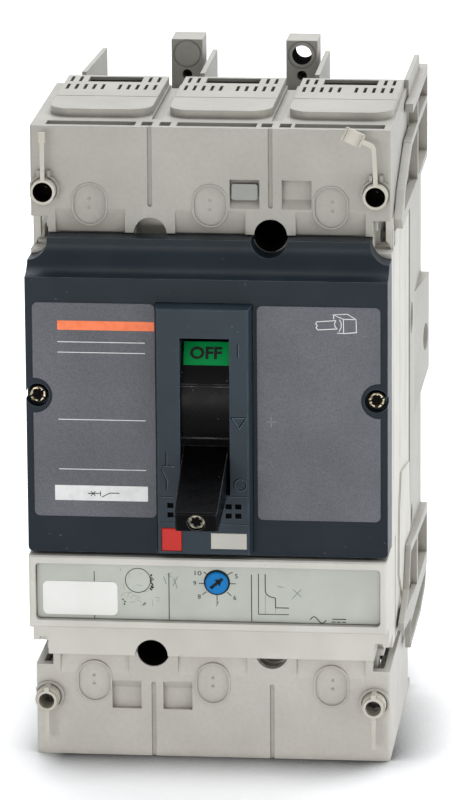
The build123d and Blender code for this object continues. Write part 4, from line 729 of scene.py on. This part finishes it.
def makeStage():
    look = {"floorSize": 9.0, "floorColour": "#f6f6f5", "seenGlow": 0.35, "farGlow": 0.7, "shadowReachMm": 32,
            "shadowColour": "#151516"}
    lowest = cadBox[0].z
    mesh = bpy.data.meshes.new("studioFloor")
    half = look["floorSize"] / 2
    corners = [(-half, -half), (half, -half), (half, half), (-half, half)]
    mesh.from_pydata([(x, y, lowest) for x, y in corners], [], [(0, 1, 2, 3)])
    floor = bpy.data.objects.new("studioFloor", mesh)
    bpy.context.scene.collection.objects.link(floor)
    material, tree, shader = newMaterial("seamless paper, matt white")
    shader.inputs["Base Color"].default_value = linear(look["floorColour"])
    shader.inputs["Roughness"].default_value = 0.9
    shader.inputs["Specular IOR Level"].default_value = 0.1
    # the camera sees the paper a little brighter, so that it runs into the white backdrop; the lamps reach
    # less of it further out, so that share grows between half a metre and a metre and a half
    far = addNode(tree, "ShaderNodeVectorMath", {"operation": "LENGTH"},
                  n0=addNode(tree, "ShaderNodeTexCoord").outputs["Object"])
    share = addNode(tree, "ShaderNodeMapRange", {1: 0.5, 2: 1.5, 3: look["seenGlow"], 4: look["farGlow"]},
                    Value=far.outputs["Value"])
    glow = addNode(tree, "ShaderNodeEmission", {"Color": (1, 1, 1, 1)}, Strength=share.outputs[0])
    both = addNode(tree, "ShaderNodeAddShader", {}, n0=shader.outputs[0], n1=glow.outputs[0])
    rays = addNode(tree, "ShaderNodeLightPath")
    seen = addNode(tree, "ShaderNodeMixShader", {}, n0=rays.outputs["Is Camera Ray"], n1=shader.outputs[0],
                   n2=both.outputs[0])
    # the lamps are too soft for the dark contact shade of the photograph, so near the breaker it is added:
    # full in front, weaker towards the back and none at the far left
    near = addNode(tree, "ShaderNodeAmbientOcclusion", {"samples": 8, "Distance": look["shadowReachMm"] * mm})
    shade = addNode(tree, "ShaderNodeMapRange", {1: 0.46, 2: 0.95, 3: 1.0, 4: 0.0}, Value=near.outputs["AO"])
    place = addNode(tree, "ShaderNodeTexCoord").outputs["Object"]
    across = addNode(tree, "ShaderNodeSeparateXYZ", {}, Vector=place)
    side = addNode(tree, "ShaderNodeMapRange", {1: -64 * mm, 2: -44 * mm, 3: 0.0, 4: 1.0},
                   Value=across.outputs["X"])
    depth = addNode(tree, "ShaderNodeMapRange", {1: -112 * mm, 2: -30 * mm, 3: 1.0, 4: 0.3},
                    Value=across.outputs["Y"])
    where = addNode(tree, "ShaderNodeMath", {"operation": "MULTIPLY"}, n0=side.outputs[0], n1=depth.outputs[0])
    shaded = addNode(tree, "ShaderNodeMath", {"operation": "MULTIPLY"}, n0=shade.outputs[0],
                     n1=where.outputs[0])
    amount = addNode(tree, "ShaderNodeMath", {"operation": "MULTIPLY"}, n0=shaded.outputs[0],
                     n1=rays.outputs["Is Camera Ray"])
    dark = addNode(tree, "ShaderNodeBsdfDiffuse", {"Color": linear(look["shadowColour"])})
    paper = addNode(tree, "ShaderNodeMixShader", {}, n0=amount.outputs[0], n1=seen.outputs[0],
                    n2=dark.outputs[0])
    output = next(n for n in tree.nodes if n.type == "OUTPUT_MATERIAL")
    tree.links.new(paper.outputs[0], output.inputs[0])
    mesh.materials.append(material)


def makeWorld():
    look = {"strength": 0.5, "colour": "#eef2f8"}
    world = bpy.data.worlds.new("softStudio")
    bpy.context.scene.world = world
    world.use_nodes = True
    tree = world.node_tree
    tree.nodes.clear()
    output = tree.nodes.new("ShaderNodeOutputWorld")
    light = addNode(tree, "ShaderNodeBackground",
                    {"Color": linear(look["colour"]), "Strength": look["strength"]})
    backdrop = addNode(tree, "ShaderNodeBackground", {"Color": (1, 1, 1, 1), "Strength": 1.0})
    rays = addNode(tree, "ShaderNodeLightPath")
    seen = addNode(tree, "ShaderNodeMath", {"operation": "MAXIMUM"}, n0=rays.outputs["Is Camera Ray"],
                   n1=rays.outputs["Is Transmission Ray"])
    mirrored = addNode(tree, "ShaderNodeMath", {"operation": "MAXIMUM"}, n0=seen.outputs[0],
                       n1=rays.outputs["Is Glossy Ray"])
    mix = addNode(tree, "ShaderNodeMixShader", {}, n0=mirrored.outputs[0], n1=light.outputs[0],
                  n2=backdrop.outputs[0])
    tree.links.new(mix.outputs[0], output.inputs[0])


def addLamp(name, place, target, size, power, colour):
    data = bpy.data.lights.new(name, "AREA")
    data.shape = "RECTANGLE"
    data.size, data.size_y = size
    data.energy = power
    data.color = linear(colour)[:3]
    lamp = bpy.data.objects.new(name, data)
    lamp.location = place
    lamp.rotation_mode = "QUATERNION"
    lamp.rotation_quaternion = (Vector(target) - Vector(place)).to_track_quat("-Z", "Y")
    bpy.context.scene.collection.objects.link(lamp)


def makeCamera():
    # place and axes as solved from the photograph's own corners
    view = {"eye": (0.18365, -1.80955, 0.45862), "right": (0.994657, 0.102976, -0.007295),
            "up": (-0.018976, 0.251834, 0.967584), "focalPixels": 6064.8, "framePixels": 800}
    data = bpy.data.cameras.new("productCamera")
    data.sensor_fit = "AUTO"
    data.sensor_width = 36.0
    data.lens = view["focalPixels"] / view["framePixels"] * data.sensor_width
    camera = bpy.data.objects.new("productCamera", data)
    right, up = Vector(view["right"]), Vector(view["up"])
    turn = Matrix((right, up, right.cross(up))).transposed()
    camera.matrix_world = Matrix.Translation(view["eye"]) @ turn.to_4x4()
    data.clip_start, data.clip_end = 0.05, 30
    bpy.context.scene.collection.objects.link(camera)
    bpy.context.scene.camera = camera


lamps = {
    "topSoftbox": {"place": (0.1, 0.45, 1.3), "size": (1.3, 1.1), "power": 21.0, "colour": "#f7faff"},
    "rightSoftbox": {"place": (1.3, -0.45, 0.3), "size": (0.8, 0.9), "power": 6.2, "colour": "#ffffff"},
    "frontSoftbox": {"place": (-0.3, -1.6, -0.02), "size": (1.2, 0.14), "power": 7.2, "colour": "#fffdfa"},
}
lampTarget = (0, -0.08, 0)  # the middle of the front
makeStage()
makeWorld()
for lampName, lamp in lamps.items():
    addLamp(lampName, lamp["place"], lampTarget, lamp["size"], lamp["power"], lamp["colour"])
makeCamera()
bpy.context.scene.view_settings.view_transform = "Standard"
print("stage: done")
